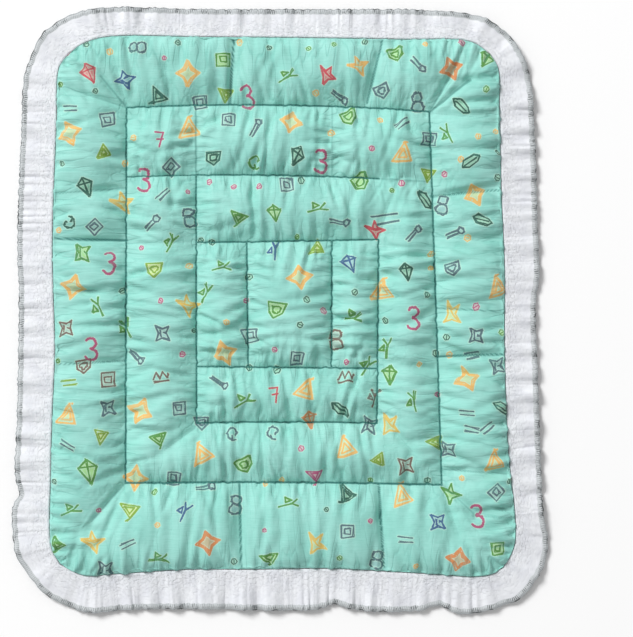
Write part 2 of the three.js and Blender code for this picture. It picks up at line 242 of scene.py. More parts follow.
# %% Lay out the sheet
COLUMN_CELLS = (24, 18, 30, 16, 20)  # cells between one line and the next; the sum is even
ROW_CELLS = (24, 23, 44, 20, 21)
RING_CELLS = 26  # cells from the outermost line to the side seam
LINE_CROWDING = 0.25  # draws the cells a little closer to the lines
CORNER_CROWDING = 0.5
# The cloth's turn down over the side, as places past the seam and the share of the height there
ROLL = [(-1.6, 0.34), (-0.2, 0.23), (0.5, 0.12), (0.0, 0.0)]
ROLL_START = 3.6  # where the turn starts
ROLL_CLOTH = 2.2  # cloth taken up by each step of the roll


def cell_steps(counts):
    """Grid steps as a line number plus a share of the way to the next line."""
    steps = []
    for band, count in enumerate(counts):
        share = np.arange(count) / count
        steps.extend(band + share - LINE_CROWDING * np.sin(2 * np.pi * share) / (2 * np.pi))
    return np.array(steps + [len(counts)])


def panel_grid():
    """Places of the grid inside the outermost line, as rows by columns."""
    rows, columns = cell_steps(ROW_CELLS), cell_steps(COLUMN_CELLS)
    r, c = np.minimum(rows.astype(int), 4), np.minimum(columns.astype(int), 4)
    down, across = (rows - r)[:, None, None], (columns - c)[None, :, None]
    at = [[CROSSINGS[np.ix_(r + i, c + j)] for j in (0, 1)] for i in (0, 1)]
    head = at[0][0] * (1 - across) + at[0][1] * across
    foot = at[1][0] * (1 - across) + at[1][1] * across
    return head * (1 - down) + foot * down


def edge_order(rows, columns):
    """The grid's edge cells, clockwise from the head's left end."""
    head = [(0, j) for j in range(columns - 1)]
    right = [(i, columns - 1) for i in range(rows - 1)]
    foot = [(rows - 1, j) for j in range(columns - 1, 0, -1)]
    left = [(i, 0) for i in range(rows - 1, 0, -1)]
    return tuple(np.array(head + right + foot + left).T)


panel = panel_grid()
GRID_ROWS, GRID_COLUMNS = panel.shape[:2]
edge = edge_order(GRID_ROWS, GRID_COLUMNS)
frame_line = panel[edge]
side_cells = [GRID_COLUMNS - 1, GRID_ROWS - 1, GRID_COLUMNS - 1, GRID_ROWS - 1]
seam = outline(SEAM_SIDES, side_cells, CORNER_CROWDING)
ROUND = len(seam)
print(f"grid {GRID_ROWS} by {GRID_COLUMNS}, {ROUND} cells round the seam")


# %% Heights of the filled form
def fullness(places):
    """0 where the cloth is held right down, 1 where its channel is full."""
    full = np.ones(places.shape[:-1])
    for line in QUILTING + SOFT_CREASES:
        full *= 1 - line.hold * (1 - puff(distance_to(line, places), line.hold >= STITCHED))
    return full


def lumps(places):
    """The filling is a little uneven from place to place."""
    x, y = places[..., 0], places[..., 1]
    return 1 + 0.035 * np.sin(x / 31 + 1.3) * np.cos(y / 37) + 0.02 * np.sin((x + 2 * y) / 23)


def top_height(places):
    return STITCH_TOP + (CROWN - STITCH_TOP) * fullness(places) * lumps(places)


def ring_rows():
    """Rows from the outermost line out to the seam, as (solid places, flat places on the cloth)."""
    run = frame_line - seam
    length = np.linalg.norm(run, axis=1)
    inward = run / length[:, None]
    full = top_height(seam + inward * EDGE_REACH)
    plump = (full - STITCH_TOP) / (CROWN - STITCH_TOP)
    sloping = RING_CELLS - len(ROLL)
    rows = []
    for k in range(1, sloping + 1):
        share = 1 - k / sloping * (1 - ROLL_START / length)
        places = seam + run * share[:, None]
        height = SEAM_TOP + (top_height(places) - SEAM_TOP) * swell(length * share, EDGE_REACH)
        rows.append((np.column_stack([places, height]), places))
    for k, (past, share) in enumerate(ROLL):
        places = seam - inward * (past * plump)[:, None]
        height = SEAM_TOP + (full - SEAM_TOP) * share
        flat = seam + inward * (ROLL_START - ROLL_CLOTH * (k + 1))
        rows.append((np.column_stack([places, height]), flat))
    return rows


def strip_faces(outer, inner):
    """Quads of a closed strip between two loops of points; they face up where outer lies outside."""
    return np.column_stack([outer, inner, np.roll(inner, -1), np.roll(outer, -1)])


def grid_faces(index):
    """Quads of a grid of point numbers whose first row is at the head; they face up."""
    return np.column_stack([part.ravel() for part in
                            (index[:-1, :-1], index[1:, :-1], index[1:, 1:], index[:-1, 1:])])


rings = ring_rows()
panel_top = np.dstack([panel, top_height(panel)]).reshape(-1, 3)
top_points = np.vstack([panel_top] + [solid for solid, _ in rings])
top_flat = np.vstack([panel.reshape(-1, 2)] + [flat for _, flat in rings])
panel_index = np.arange(panel.shape[0] * panel.shape[1]).reshape(panel.shape[:2])
top_loops = [panel_index[edge]]
top_loops += [panel_index.size + k * ROUND + np.arange(ROUND) for k in range(len(rings))]
top_faces = np.vstack([grid_faces(panel_index)]
                      + [strip_faces(outer, inner) for inner, outer in zip(top_loops, top_loops[1:])])
print("top cloth:", len(top_points), "points,", len(top_faces), "cells")

# %% [markdown]
# ## Wrinkles
#
# A sewn line gathers the cloth slightly, so short folds leave it on both sides, nearly at a right angle
# and never evenly spaced. The same function makes the broad folds, which the simulation starts from, and
# later the fine ones, which are narrower than its cells.

# %% Throw wrinkles off the sewn lines
SQUARE = 16.0  # mm
GATHER_FADE = 26.0  # how far the finest gathers reach from a seam
WRINKLE_REACH = 3.5  # widths from a wrinkle's middle to where it ends
WRINKLE_START = 3.0  # mm in which it deepens at its root
WRINKLE_FADE = 0.65  # how slowly it fades to its tip
Wrinkle = namedtuple("Wrinkle", "start end width depth bend")


def wrinkles_along(rng, start, end, sides, spacing, reach, width, depth, behind=0.0):
    """Wrinkles that leave one straight stretch, to the left of its run (1), to the right (-1) or both."""
    run = end - start
    span = np.linalg.norm(run)
    along = run / span
    found = []
    for side in sides:
        out = np.array((-along[1], along[0])) * side
        lean = rng.normal(0, 0.12)
        at = rng.uniform(0, spacing)
        while at < span:
            turn = lean + rng.normal(0, 0.16)
            direction = out * math.cos(turn) + along * math.sin(turn)
            root = start + along * at
            tip = root + direction * reach * rng.uniform(0.4, 1.0)
            found.append(Wrinkle(root - direction * behind, tip, width * rng.uniform(0.7, 1.4),
                                 depth * rng.uniform(0.35, 1.3), rng.uniform(-0.12, 0.12)))
            at += spacing * rng.uniform(0.5, 1.6)
    return found


def throw_wrinkles(rng, spacing, reach, width, depth, behind=0.0):
    """Wrinkles on both sides of every firm line, and inwards from behind the side seam."""
    found = []
    for start, end, hold in QUILTING:
        if hold >= PINNED:
            found += wrinkles_along(rng, start, end, (-1, 1), spacing, reach, width, depth)
    hem = outline(SEAM_SIDES, (9, 11, 9, 11))
    for start, end in zip(hem, np.roll(hem, -1, axis=0)):
        found += wrinkles_along(rng, start, end, (-1,), spacing, reach, width, depth, behind)
    return found


def by_square(places):
    """The numbers of the places in each square of the plan, so that near ones are found quickly."""
    squares = {}
    keys = np.floor(places / SQUARE).astype(int)
    order = np.lexsort((keys[:, 1], keys[:, 0]))
    breaks = np.nonzero(np.any(np.diff(keys[order], axis=0), axis=1))[0] + 1
    for group in np.split(order, breaks):
        squares[tuple(keys[group[0]])] = group
    return squares


def in_box(squares, low, high):
    """The numbers of the places in the squares that a box touches."""
    a, b = np.floor(low / SQUARE).astype(int), np.floor(high / SQUARE).astype(int) + 1
    found = [squares[i, j] for i in range(a[0], b[0]) for j in range(a[1], b[1]) if (i, j) in squares]
    return np.concatenate(found) if found else np.zeros(0, int)


def gather_way(places):
    """Which way the gathers run, 0 up and down to 1 across, and how close the nearest seam is, 0 to 1."""
    corners = outline(SEAM_SIDES, (1, 1, 1, 1))
    sides = [Line(start, end, 1) for start, end in zip(corners, np.roll(corners, -1, axis=0))]
    upright, level = np.full((2, len(places)), 1e3)
    for line in QUILTING + sides:
        run = np.abs(line.end - line.start)
        if line.hold >= PINNED:
            nearest = upright if run[1] > run[0] else level
            np.minimum(nearest, distance_to(line, places), out=nearest)
    way = level**2 / (upright**2 + level**2 + 0.01)
    return np.column_stack([way, np.exp(-np.minimum(upright, level) / GATHER_FADE), np.zeros(len(places))])


def wrinkle_section(away):
    """1 in the middle of a wrinkle, with a low ridge on each side; away is in widths."""
    away = np.hypot(away, 0.3) - 0.3
    return np.exp(-(away**1.15)) - 0.35 * np.exp(-((away - 2.0) ** 2))


def sunk(wrinkles, places, way=None):
    """How deep wrinkles draw the cloth in, in mm. Given a way, those that run against it are left out."""
    total = np.zeros(len(places))
    squares = by_square(places)
    for start, end, width, depth, bend in wrinkles:
        run = end - start
        span = np.linalg.norm(run)
        across = (run[0] / span) ** 2
        margin = WRINKLE_REACH * width + abs(bend) * span
        about = in_box(squares, np.minimum(start, end) - margin, np.maximum(start, end) + margin)
        rel = places[about] - start
        share = rel @ run / span**2
        off = (rel[:, 0] * run[1] - rel[:, 1] * run[0]) / span + bend * span * share * share
        near = (share > 0) & (share < 1) & (np.abs(off) < WRINKLE_REACH * width)
        fade = (1 - share[near]) ** WRINKLE_FADE * np.minimum(1, share[near] * span / WRINKLE_START)
        if way is not None:
            fade *= 1 - np.abs(across - way[about[near]]) ** 1.5
        total[about[near]] += depth * fade * wrinkle_section(off[near] / width)
    return total


broad = throw_wrinkles(np.random.default_rng(5), spacing=15, reach=62, width=4.2, depth=1.6)
print(len(broad), "broad wrinkles")

# %% [markdown]
# ## Swelling the top cloth
#
# The filled form could be left as the formula gives it, but real cloth settles into folds that no formula
# draws. So the sheet becomes Blender cloth. It is pinned along the sewn lines and at the side seam, it is
# cut a few percent larger than the space it has, and pressure stands for the filling. Gravity is off,
# because the filling carries the cloth.

# %% Simulate it
CUT_LARGER = 0.06  # extra cloth both ways
SWELL_FRAMES = 16
SWELL_LIMIT = 6.0  # mm that a point may move
PIN_NEAR = 1.7  # mm from a line within which a point counts as on it
FIRM_PIN = 0.6  # how strongly a firm but unsewn stretch is pinned
UNEVEN_START = 0.1  # mm of unevenness, so that folds can start anywhere


def to_row(points):
    """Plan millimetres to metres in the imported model's frame."""
    moved = np.array(points, float)
    moved[:, :2] -= PLAN_MIDDLE
    return moved * MM


def make_object(name, points, faces):
    mesh = bpy.data.meshes.new(name)
    mesh.from_pydata(np.asarray(points).tolist(), [], [list(map(int, face)) for face in faces])
    mesh.validate()
    mesh.update()
    obj = bpy.data.objects.new(name, mesh)
    scene.collection.objects.link(obj)
    return obj


def read_points(mesh):
    flat = np.zeros(len(mesh.vertices) * 3)
    mesh.vertices.foreach_get("co", flat)
    return flat.reshape(-1, 3)


def pin_weights(points):
    """1 on sewn lines and the seam, less on firm stretches, 0 where the cloth is free."""
    weights = np.zeros(len(points))
    for line in QUILTING:
        near = distance_to(line, points[:, :2]) < PIN_NEAR
        if line.hold >= STITCHED:
            weights[near] = 1
        elif line.hold >= PINNED:
            weights[near] = np.maximum(weights[near], FIRM_PIN)
    weights[top_loops[-1]] = 1
    return weights


def swell_cloth(points, faces):
    """The top cloth after the filling has pushed it up, in plan millimetres."""
    weights = pin_weights(points)
    start = points.copy()
    free = weights < 1
    start[free, 2] -= sunk(broad, points[free, :2], gather_way(points[free, :2])[:, 0])
    start[free, 2] += np.random.default_rng(6).normal(0, UNEVEN_START, int(free.sum()))
    cloth = make_object("swelling_cloth", start * MM, faces)
    cloth.shape_key_add(name="Basis")
    cut = cloth.shape_key_add(name="cut")
    cut.data.foreach_set("co", (points * (1 + CUT_LARGER, 1 + CUT_LARGER, 1) * MM).ravel())
    pins = cloth.vertex_groups.new(name="pins")
    for level in (1.0, FIRM_PIN):
        pins.add(np.nonzero(weights == level)[0].tolist(), level, "REPLACE")
    modifier = cloth.modifiers.new("Cloth", "CLOTH")
    settings = modifier.settings
    settings.rest_shape_key = cut
    settings.vertex_group_mass = "pins"
    settings.quality = 6
    settings.mass = 0.1
    settings.tension_stiffness = 60
    settings.compression_stiffness = 60
    settings.shear_stiffness = 20
    settings.bending_stiffness = 0.05
    settings.use_pressure = True
    settings.uniform_pressure_force = 8
    settings.effector_weights.gravity = 0
    modifier.collision_settings.use_collision = False
    modifier.point_cache.frame_end = SWELL_FRAMES
    for number in range(1, SWELL_FRAMES + 1):
        scene.frame_set(number)
    seen = cloth.evaluated_get(bpy.context.evaluated_depsgraph_get())
    move = read_points(seen.data) / MM - start
    scene.frame_set(1)
    bpy.data.objects.remove(cloth)
    far = np.linalg.norm(move, axis=1)
    print(f"cloth moved {np.median(far):.2f} mm at the middle of the range and {far.max():.1f} mm at most")
    return start + move * np.minimum(1, SWELL_LIMIT / np.maximum(far, 1e-6))[:, None]


clock = time.time()
swollen_top = swell_cloth(top_points, top_faces)
print(f"swelling took {time.time() - clock:.0f} s")

# %% [markdown]
# ## The back cloth, and closing the pad
#
# Nobody looks closely at the back, but the pad lies on it and it is seen when the mattress is picked up.
# It is flat, with a shallow valley over each quilting line, on half as many cells each way. Top and back
# meet in the side seam, which closes the form, and one level of subdivision rounds it.

# %% Build the back and close the pad
BACK_ROLL = [(0.8, 5.5), (-6.0, 1.0), (-16.0, 0.0)]  # past the seam, and the height there
BACK_SHARES = (0.4, 0.62, 0.84)  # rows from there to the outermost line


def back_height(places):
    firm = [line for line in QUILTING if line.hold >= STITCHED]
    nearest = np.min([distance_to(line, places) for line in firm], axis=0)
    return STITCH_BACK * (1 - swell(nearest, BACK_REACH))


def close_pad():
    """Points, faces and a flat place for each point of the whole closed pad. The back's z there is 1."""
    run = frame_line - seam
    inward = run / np.linalg.norm(run, axis=1)[:, None]
    points = [swollen_top]
    faces = [top_faces.tolist()]
    count = len(swollen_top)

    def add(places, height):
        nonlocal count
        points.append(np.column_stack([places, np.broadcast_to(height, len(places))]))
        count += len(places)
        return np.arange(count - len(places), count)

    loops = [top_loops[-1], add(seam, SEAM_BACK)]
    loops += [add(seam - inward * past, height) for past, height in BACK_ROLL]
    for upper, lower in zip(loops, loops[1:]):
        faces.append(strip_faces(lower, upper).tolist())
    coarse = panel[::2, ::2]
    coarse_edge = edge_order(*coarse.shape[:2])
    inner_loops = []
    for share in BACK_SHARES:
        places = seam[::2] + run[::2] * share
        inner_loops.append(add(places, back_height(places)))
    flat_coarse = coarse.reshape(-1, 2)
    back_index = add(flat_coarse, back_height(flat_coarse)).reshape(coarse.shape[:2])
    inner_loops.append(back_index[coarse_edge])
    outer, inner = loops[-1], inner_loops[0]
    for i, point in enumerate(inner):
        first, middle, last = outer[2 * i], outer[2 * i + 1], outer[(2 * i + 2) % ROUND]
        after = inner[(i + 1) % len(inner)]
        faces.append([[first, middle, point], [middle, last, after, point]])
    for outer, inner in zip(inner_loops, inner_loops[1:]):
        faces.append(strip_faces(outer, inner)[:, ::-1].tolist())
    faces.append(grid_faces(back_index)[:, ::-1].tolist())
    points = np.vstack(points)
    flat = np.column_stack([points[:, :2], np.ones(len(points))])
    flat[:len(top_flat)] = np.column_stack([top_flat, np.zeros(len(top_flat))])
    return points, [face for group in faces for face in group], flat


def set_attribute(mesh, name, kind, domain, values, field):
    attribute = mesh.attributes.new(name, kind, domain)
    attribute.data.foreach_set(field, np.asarray(values, np.float32).ravel())


def read_attribute(mesh, name, field, size):
    values = np.zeros(len(mesh.attributes[name].data) * size, np.float32)
    mesh.attributes[name].data.foreach_get(field, values)
    return values.reshape(-1, size)


def on_top(sheet):
    """Which flat places belong to the top cloth and not to the back."""
    return sheet[:, 2] < 0.5


def apply_modifiers(obj):
    """Give the object the mesh that its modifiers leave, and take them off."""
    seen = obj.evaluated_get(bpy.context.evaluated_depsgraph_get())
    mesh = bpy.data.meshes.new_from_object(seen)
    old = obj.data
    obj.modifiers.clear()
    obj.data = mesh
    mesh.name = obj.name
    bpy.data.meshes.remove(old)


pad_points, pad_faces, pad_flat = close_pad()
pad = make_object("quilted_pad_cloth", to_row(pad_points), pad_faces)
set_attribute(pad.data, "sheet", "FLOAT_VECTOR", "POINT", pad_flat, "vector")
smooth = pad.modifiers.new("Round the cells", "SUBSURF")
smooth.levels = smooth.render_levels = 1
apply_modifiers(pad)
pad.data.shade_smooth()
print("pad:", len(pad.data.vertices), "points,", len(pad.data.polygons), "faces")

# %% [markdown]
# ## Fine wrinkles
#
# The simulation's cells are too wide for the finest folds, the ones that a needle leaves. A finer
# simulation would take minutes, so these are pressed into the fine mesh along its normals instead. At the
# side they start below the seam, which scallops the edge where the printed cloth meets the ruffle.

# %% Press fine wrinkles into the pad
GROOVE_WIDTH = 1.5  # how quickly a sewn groove fades to its sides
CREASE_WIDTH = 2.4  # the same for a crease without thread
GROOVE_DEPTH = 1.6
DRAWN_WIDTH = 3.2  # of a soft crease's own fold
DRAWN_DEPTH = 6.5  # of the same, for a crease held with all its firmness
THICK_ENOUGH = 9.0  # filling that a fold needs to press in to its full depth
LINE_WANDER = 1.15  # how far puckers push a sewn line sideways
WANDER_PITCHES = (1.5, 2.6, 5.2)
WANDER_FADE = 5.0  # how quickly that push fades beside the line and towards its ends


def read_normals(mesh):
    flat = np.zeros(len(mesh.vertices) * 3)
    mesh.vertex_normals.foreach_get("vector", flat)
    return flat.reshape(-1, 3)


def write_points(mesh, points):
    mesh.vertices.foreach_set("co", np.asarray(points).ravel())
    mesh.update()


def groove(places, lines):
    """How close places are to sewn lines and creases: 1 on one of them and 0 away from them."""
    close = np.zeros(len(places))
    for line in lines:
        away = distance_to(line, places)
        if line.hold >= STITCHED:
            near = np.exp(-away / GROOVE_WIDTH)
        else:
            near = np.exp(-((away / CREASE_WIDTH) ** 2))
        close = np.maximum(close, line.hold * near)
    return close


def wander(rng, places):
    """How far the puckers push places beside each sewn line, in plan millimetres."""
    shift = np.zeros((len(places), 2))
    for start, end, hold in QUILTING:
        run = end - start
        span = np.linalg.norm(run)
        way = run / span
        sideways = np.array((-way[1], way[0]))
        rel = places - start
        along, off = rel @ way, rel @ sideways
        near = (along > 0) & (along < span) & (np.abs(off) < 2.4 * WANDER_FADE)
        at = along[near]
        phases = rng.uniform(0, 2 * np.pi, 3)
        push = sum(np.sin(at / pitch + phase) for pitch, phase in zip(WANDER_PITCHES, phases)) / 3
        push *= 0.55 + 0.45 * np.sin(at / 11 + 2 * phases[0])
        ends = np.minimum(1, np.minimum(at, span - at) / WANDER_FADE)
        push *= LINE_WANDER * hold * np.exp(-((off[near] / WANDER_FADE) ** 2)) * ends
        shift[near] += push[:, None] * sideways
    return shift


folds = throw_wrinkles(np.random.default_rng(7), spacing=20, reach=95, width=3.8, depth=4.6, behind=6)
fine = throw_wrinkles(np.random.default_rng(8), spacing=10, reach=50, width=2.0, depth=1.9, behind=6)
puckers = throw_wrinkles(np.random.default_rng(9), spacing=5.5, reach=12, width=1.2, depth=1.0, behind=6)
pad_sheet = read_attribute(pad.data, "sheet", "vector", 3)
printed = on_top(pad_sheet)
plan = pad_sheet[printed, :2]
gathers = gather_way(pad_sheet[:, :2])
pressed = read_points(pad.data)
drawn_in = [Wrinkle(start, end, DRAWN_WIDTH, DRAWN_DEPTH * hold, 0.05) for start, end, hold in SOFT_CREASES]
pucker_depth = sunk(puckers, plan, gathers[printed, 0])
depth = pucker_depth + sunk(folds + fine, plan, gathers[printed, 0]) + sunk(drawn_in, plan)
depth *= np.clip((pressed[printed, 2] / MM - STITCH_TOP) / THICK_ENOUGH, 0.2, 1)
pressed[printed] -= read_normals(pad.data)[printed] * depth[:, None] * MM
in_groove = np.zeros(len(pad_sheet))
in_groove[printed] = np.maximum(groove(plan, QUILTING + SOFT_CREASES),
                                np.clip(pucker_depth / 1.6, 0, 0.6))
pressed[:, 2] -= in_groove * GROOVE_DEPTH * MM
# On the back the groove only darkens the colour in the shader: painted shade along the quilting lines
in_groove[~printed] = groove(pad_sheet[~printed, :2], QUILTING)
pressed[printed, :2] += wander(np.random.default_rng(10), plan) * MM
write_points(pad.data, pressed)
# The stored groove drives painted shade in the cottons' colour, darker along the sunken lines and creases
set_attribute(pad.data, "groove", "FLOAT", "POINT", in_groove, "value")
# The gather's closeness to a seam also sets how strongly the printed cotton paints shade into its creases
set_attribute(pad.data, "gather", "FLOAT_VECTOR", "POINT", gathers, "vector")
print(f"{len(folds) + len(fine) + len(puckers)} wrinkles, the deepest {depth.max():.2f} mm")

# %% [markdown]
# ## Stitches
#
# A row of stitches is the same short thread over and over, along a path that lies in a groove. Placing
# each by hand would be slow, and an Array modifier spaces them badly round corners. Geometry Nodes fit
# best: the path becomes a curve, it is measured out in even steps, and every step gets one thread, turned
# along the path and set on the cloth's own normal. The same tree sews the quilting, the overlock and its
# edge.

# %% Helpers for building node trees
def node(tree, kind, inputs=None, **settings):
    """Add a node, set its options, then link or set its inputs."""
    made = tree.nodes.new(kind)
    for name, value in settings.items():
        setattr(made, name, value)
    for socket, value in (inputs or {}).items():
        if isinstance(value, bpy.types.NodeSocket):
            tree.links.new(value, made.inputs[socket])
        else:
            made.inputs[socket].default_value = value
    return made


def node_group(name, kind, inputs, outputs):
    """A new group, with the sockets that give its inputs and those that take its results."""
    tree = bpy.data.node_groups.new(name, kind)
    for label, socket, value in inputs:
        made = tree.interface.new_socket(name=label, in_out="INPUT", socket_type=socket)
        if value is not None:
            made.default_value = value
    for label, socket in outputs:
        tree.interface.new_socket(name=label, in_out="OUTPUT", socket_type=socket)
    return tree, tree.nodes.new("NodeGroupInput").outputs, tree.nodes.new("NodeGroupOutput").inputs


def math_node(tree, operation, first, second=0.0):
    return node(tree, "ShaderNodeMath", {0: first, 1: second}, operation=operation).outputs[0]


def vector_node(tree, operation, first, second=(0, 0, 0)):
    made = node(tree, "ShaderNodeVectorMath", {0: first, 1: second}, operation=operation)
    return made.outputs["Value" if operation in ("DOT_PRODUCT", "DISTANCE") else "Vector"]


# %% The stitching tree
def stitching_tree():
    tree, given, result = node_group(
        "Stitches along a row", "GeometryNodeTree",
        [("Path", "NodeSocketGeometry", None), ("Pitch", "NodeSocketFloat", 0.0045),
         ("Stitch Length", "NodeSocketFloat", 0.003), ("Thread Width", "NodeSocketFloat", 0.0006),
         ("Turn", "NodeSocketFloat", 0.0), ("Unevenness", "NodeSocketFloat", 0.05),
         ("Roundness", "NodeSocketInt", 2), ("Seed", "NodeSocketInt", 1),
         ("Thread", "NodeSocketMaterial", None)],
        [("Stitches", "NodeSocketGeometry")])
    path = node(tree, "GeometryNodeMeshToCurve", {"Mesh": given["Path"]})
    steps = node(tree, "GeometryNodeResampleCurve", {"Curve": path.outputs[0], "Length": given["Pitch"]},
                 mode="LENGTH")
    along = node(tree, "GeometryNodeInputTangent")
    up = node(tree, "GeometryNodeInputNamedAttribute", {"Name": "up"}, data_type="FLOAT_VECTOR")
    laid = node(tree, "FunctionNodeAlignRotationToVector", {"Vector": along.outputs[0]}, axis="X")
    laid = node(tree, "FunctionNodeAlignRotationToVector",
                {"Rotation": laid.outputs[0], "Vector": up.outputs[0]}, axis="Z", pivot_axis="X")
    least = math_node(tree, "MULTIPLY", given["Unevenness"], -1.0)
    lean = node(tree, "FunctionNodeRandomValue",
                {2: least, 3: given["Unevenness"], "Seed": given["Seed"]}, data_type="FLOAT")
    angle = math_node(tree, "ADD", given["Turn"], lean.outputs[1])
    turn = node(tree, "FunctionNodeAxisAngleToRotation", {"Axis": (0, 0, 1), "Angle": angle})
    turned = node(tree, "FunctionNodeRotateRotation",
                  {"Rotation": laid.outputs[0], "Rotate By": turn.outputs[0]}, rotation_space="LOCAL")
    half_length = math_node(tree, "MULTIPLY", given["Stitch Length"], 0.5)
    half_width = math_node(tree, "MULTIPLY", given["Thread Width"], 0.5)
    size = node(tree, "ShaderNodeCombineXYZ", {0: half_length, 1: half_width, 2: half_width})
    thread = node(tree, "GeometryNodeMeshIcoSphere", {"Radius": 1.0, "Subdivisions": given["Roundness"]})
    sewn = node(tree, "GeometryNodeInstanceOnPoints",
                {"Points": steps.outputs[0], "Instance": thread.outputs[0], "Rotation": turned.outputs[0],
                 "Scale": size.outputs[0]})
    solid = node(tree, "GeometryNodeRealizeInstances", {"Geometry": sewn.outputs[0]})
    rounded = node(tree, "GeometryNodeSetShadeSmooth", {"Geometry": solid.outputs[0]})
    coloured = node(tree, "GeometryNodeSetMaterial",
                    {"Geometry": rounded.outputs[0], "Material": given["Thread"]})
    tree.links.new(coloured.outputs[0], result[0])
    return tree


STITCHING = stitching_tree()


def sew(name, paths, normals, **values):
    """Stitches along paths, each a list of points in metres with the cloth's normal at every point."""
    points = np.vstack(paths)
    starts = np.cumsum([0] + [len(path) for path in paths])
    edges = [(i, i + 1) for a, b in zip(starts, starts[1:]) for i in range(a, b - 1)]
    mesh = bpy.data.meshes.new(name)
    mesh.from_pydata(points.tolist(), edges, [])
    set_attribute(mesh, "up", "FLOAT_VECTOR", "POINT", np.vstack(normals), "vector")
    row = bpy.data.objects.new(name, mesh)
    scene.collection.objects.link(row)
    modifier = row.modifiers.new("Stitches", "NODES")
    modifier.node_group = STITCHING
    sockets = {item.name: item.identifier for item in STITCHING.interface.items_tree
               if item.in_out == "INPUT"}
    for label, value in values.items():
        modifier[sockets[label.replace("_", " ")]] = value
    apply_modifiers(row)
    print(name, len(row.data.polygons), "faces")
    return row


quilting_thread = bpy.data.materials.new("quilting_thread")
overlock_thread = bpy.data.materials.new("overlock_thread")
edge_loop_thread = bpy.data.materials.new("edge_loop_thread")


# %% Sew the quilting
def quilted_stretches():
    """The point numbers of every stretch that has thread in it."""
    down = np.cumsum((0,) + ROW_CELLS)
    across = np.cumsum((0,) + COLUMN_CELLS)
    found = []
    for row, holds in enumerate(ROW_HOLD):
        found += [panel_index[down[row], across[i]:across[i + 1] + 1]
                  for i, hold in enumerate(holds) if hold >= STITCHED]
    for column, holds in enumerate(COLUMN_HOLD):
        found += [panel_index[down[i]:down[i + 1] + 1, across[column]]
                  for i, hold in enumerate(holds) if hold >= STITCHED]
    return found


pad_at, pad_up = read_points(pad.data), read_normals(pad.data)
stretches = quilted_stretches()
quilting = sew("quilting_stitches", [pad_at[s] + pad_up[s] * 0.1 * MM for s in stretches],
               [pad_up[s] for s in stretches], Pitch=0.0042, Stitch_Length=0.0032, Thread_Width=0.0007,
               Unevenness=0.08, Roundness=2, Seed=4, Thread=quilting_thread)

# %% [markdown]
# ## The ruffle
#
# A gathered strip has more cloth at its sewn edge than there is room for, so it stands in small folds
# there, which run out and join into wider waves at the free edge. Simulating a strip of three metres would
# be slow, and it would not keep the photographed outline. So it is worked out row by row: each point of
# the gathered edge runs straight out from the seam to the free edge, and uneven waves of several pitches
# lift it.

# %% Uneven waves
RUFFLE_ROUND = 2520  # points round the ruffle
RUFFLE_ROWS = 19  # points from the seam out to the free edge
RUFFLE_THICK = 0.9  # mm
RUFFLE_ROOT = 10.0  # height at the seam
RUFFLE_EDGE = 5.0  # usual height at the free edge, between the waves
RUFFLE_GAP = 0.3  # between the side seam and the gathered edge
RUFFLE_WAVE = 7.0  # how far the largest wave lifts the free edge
MAIN_WAVES = 62  # of them all round
FOLD_PITCHES = (3.4, 7.5, 17)  # of the crimps at the seam, the small folds and the middle ones
RUFFLE_REACH = 42.0  # usual way from the seam to the free edge
HEM = 6.0  # width of the overlocked hem
STRIP_WIDTH = 44.0  # the flat strip, before it was gathered
GATHERED = 1.31  # length of the flat strip over the length of the seam
ROW_SHARES = np.linspace(0, 1, RUFFLE_ROWS) ** 0.95  # each row's share of the way out


def softened(values, spread):
    """A closed row of values, smoothed over a number of its neighbours."""
    reach = int(3 * spread)
    weights = np.exp(-0.5 * (np.arange(-reach, reach + 1) / spread) ** 2)
    padded = np.concatenate([values[-reach:], values, values[:reach]])
    return np.convolve(padded, weights / weights.sum(), "valid")


def uneven_wave(rng, places, total, pitch, spread=0.3):
    """A closed wave from -1 to 1 along a length, whose crests are unevenly spaced and unevenly high."""
    count = max(8, round(total / pitch))
    gaps = rng.uniform(1 - spread, 1 + spread, count) ** 2
    crests = np.concatenate([[0], np.cumsum(gaps)]) / gaps.sum() * total
    height = rng.uniform(0.35, 1.0, count)
    turn = np.interp(places % total, crests, np.arange(count + 1))
    tall = np.interp(turn, np.arange(count + 1), np.append(height, height[0]))
    return tall * np.cos(2 * np.pi * turn)


def main_wave(share):
    """The broad waves of the free edge, from 0 to 1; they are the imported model's own."""
    turn = 2 * np.pi * share
    phase = MAIN_WAVES * turn + 1.6 * np.sin(7 * turn + 1) + 1.1 * np.sin(17 * turn + 2.4)
    size = 0.62 + 0.24 * np.sin(5 * turn + 0.7) + 0.14 * np.sin(13 * turn)
    return size * (0.5 + 0.5 * np.sin(phase))


def even_steps(loop, count):
    """A closed outline measured out in even steps, with its own length."""
    closed = np.vstack([loop, loop[:1]])
    along = np.concatenate([[0], np.cumsum(np.linalg.norm(np.diff(closed, axis=0), axis=1))])
    at = np.arange(count) * along[-1] / count
    return np.column_stack([np.interp(at, along, closed[:, axis]) for axis in range(2)]), along[-1]


def reach_along(starts, ways, loop):
    """How far it is from each start along its way to a closed outline."""
    a = loop[None]
    run = (np.roll(loop, -1, axis=0) - loop)[None]
    start, way = starts[:, None], ways[:, None]
    across = way[..., 0] * run[..., 1] - way[..., 1] * run[..., 0]
    across = np.where(np.abs(across) < 1e-9, 1e-9, across)
    gap = a - start
    far = (gap[..., 0] * run[..., 1] - gap[..., 1] * run[..., 0]) / across
    share = (gap[..., 0] * way[..., 1] - gap[..., 1] * way[..., 0]) / across
    met = (share >= 0) & (share <= 1) & (far > 5) & (far < 95)
    return np.where(met, far, np.inf).min(axis=1)


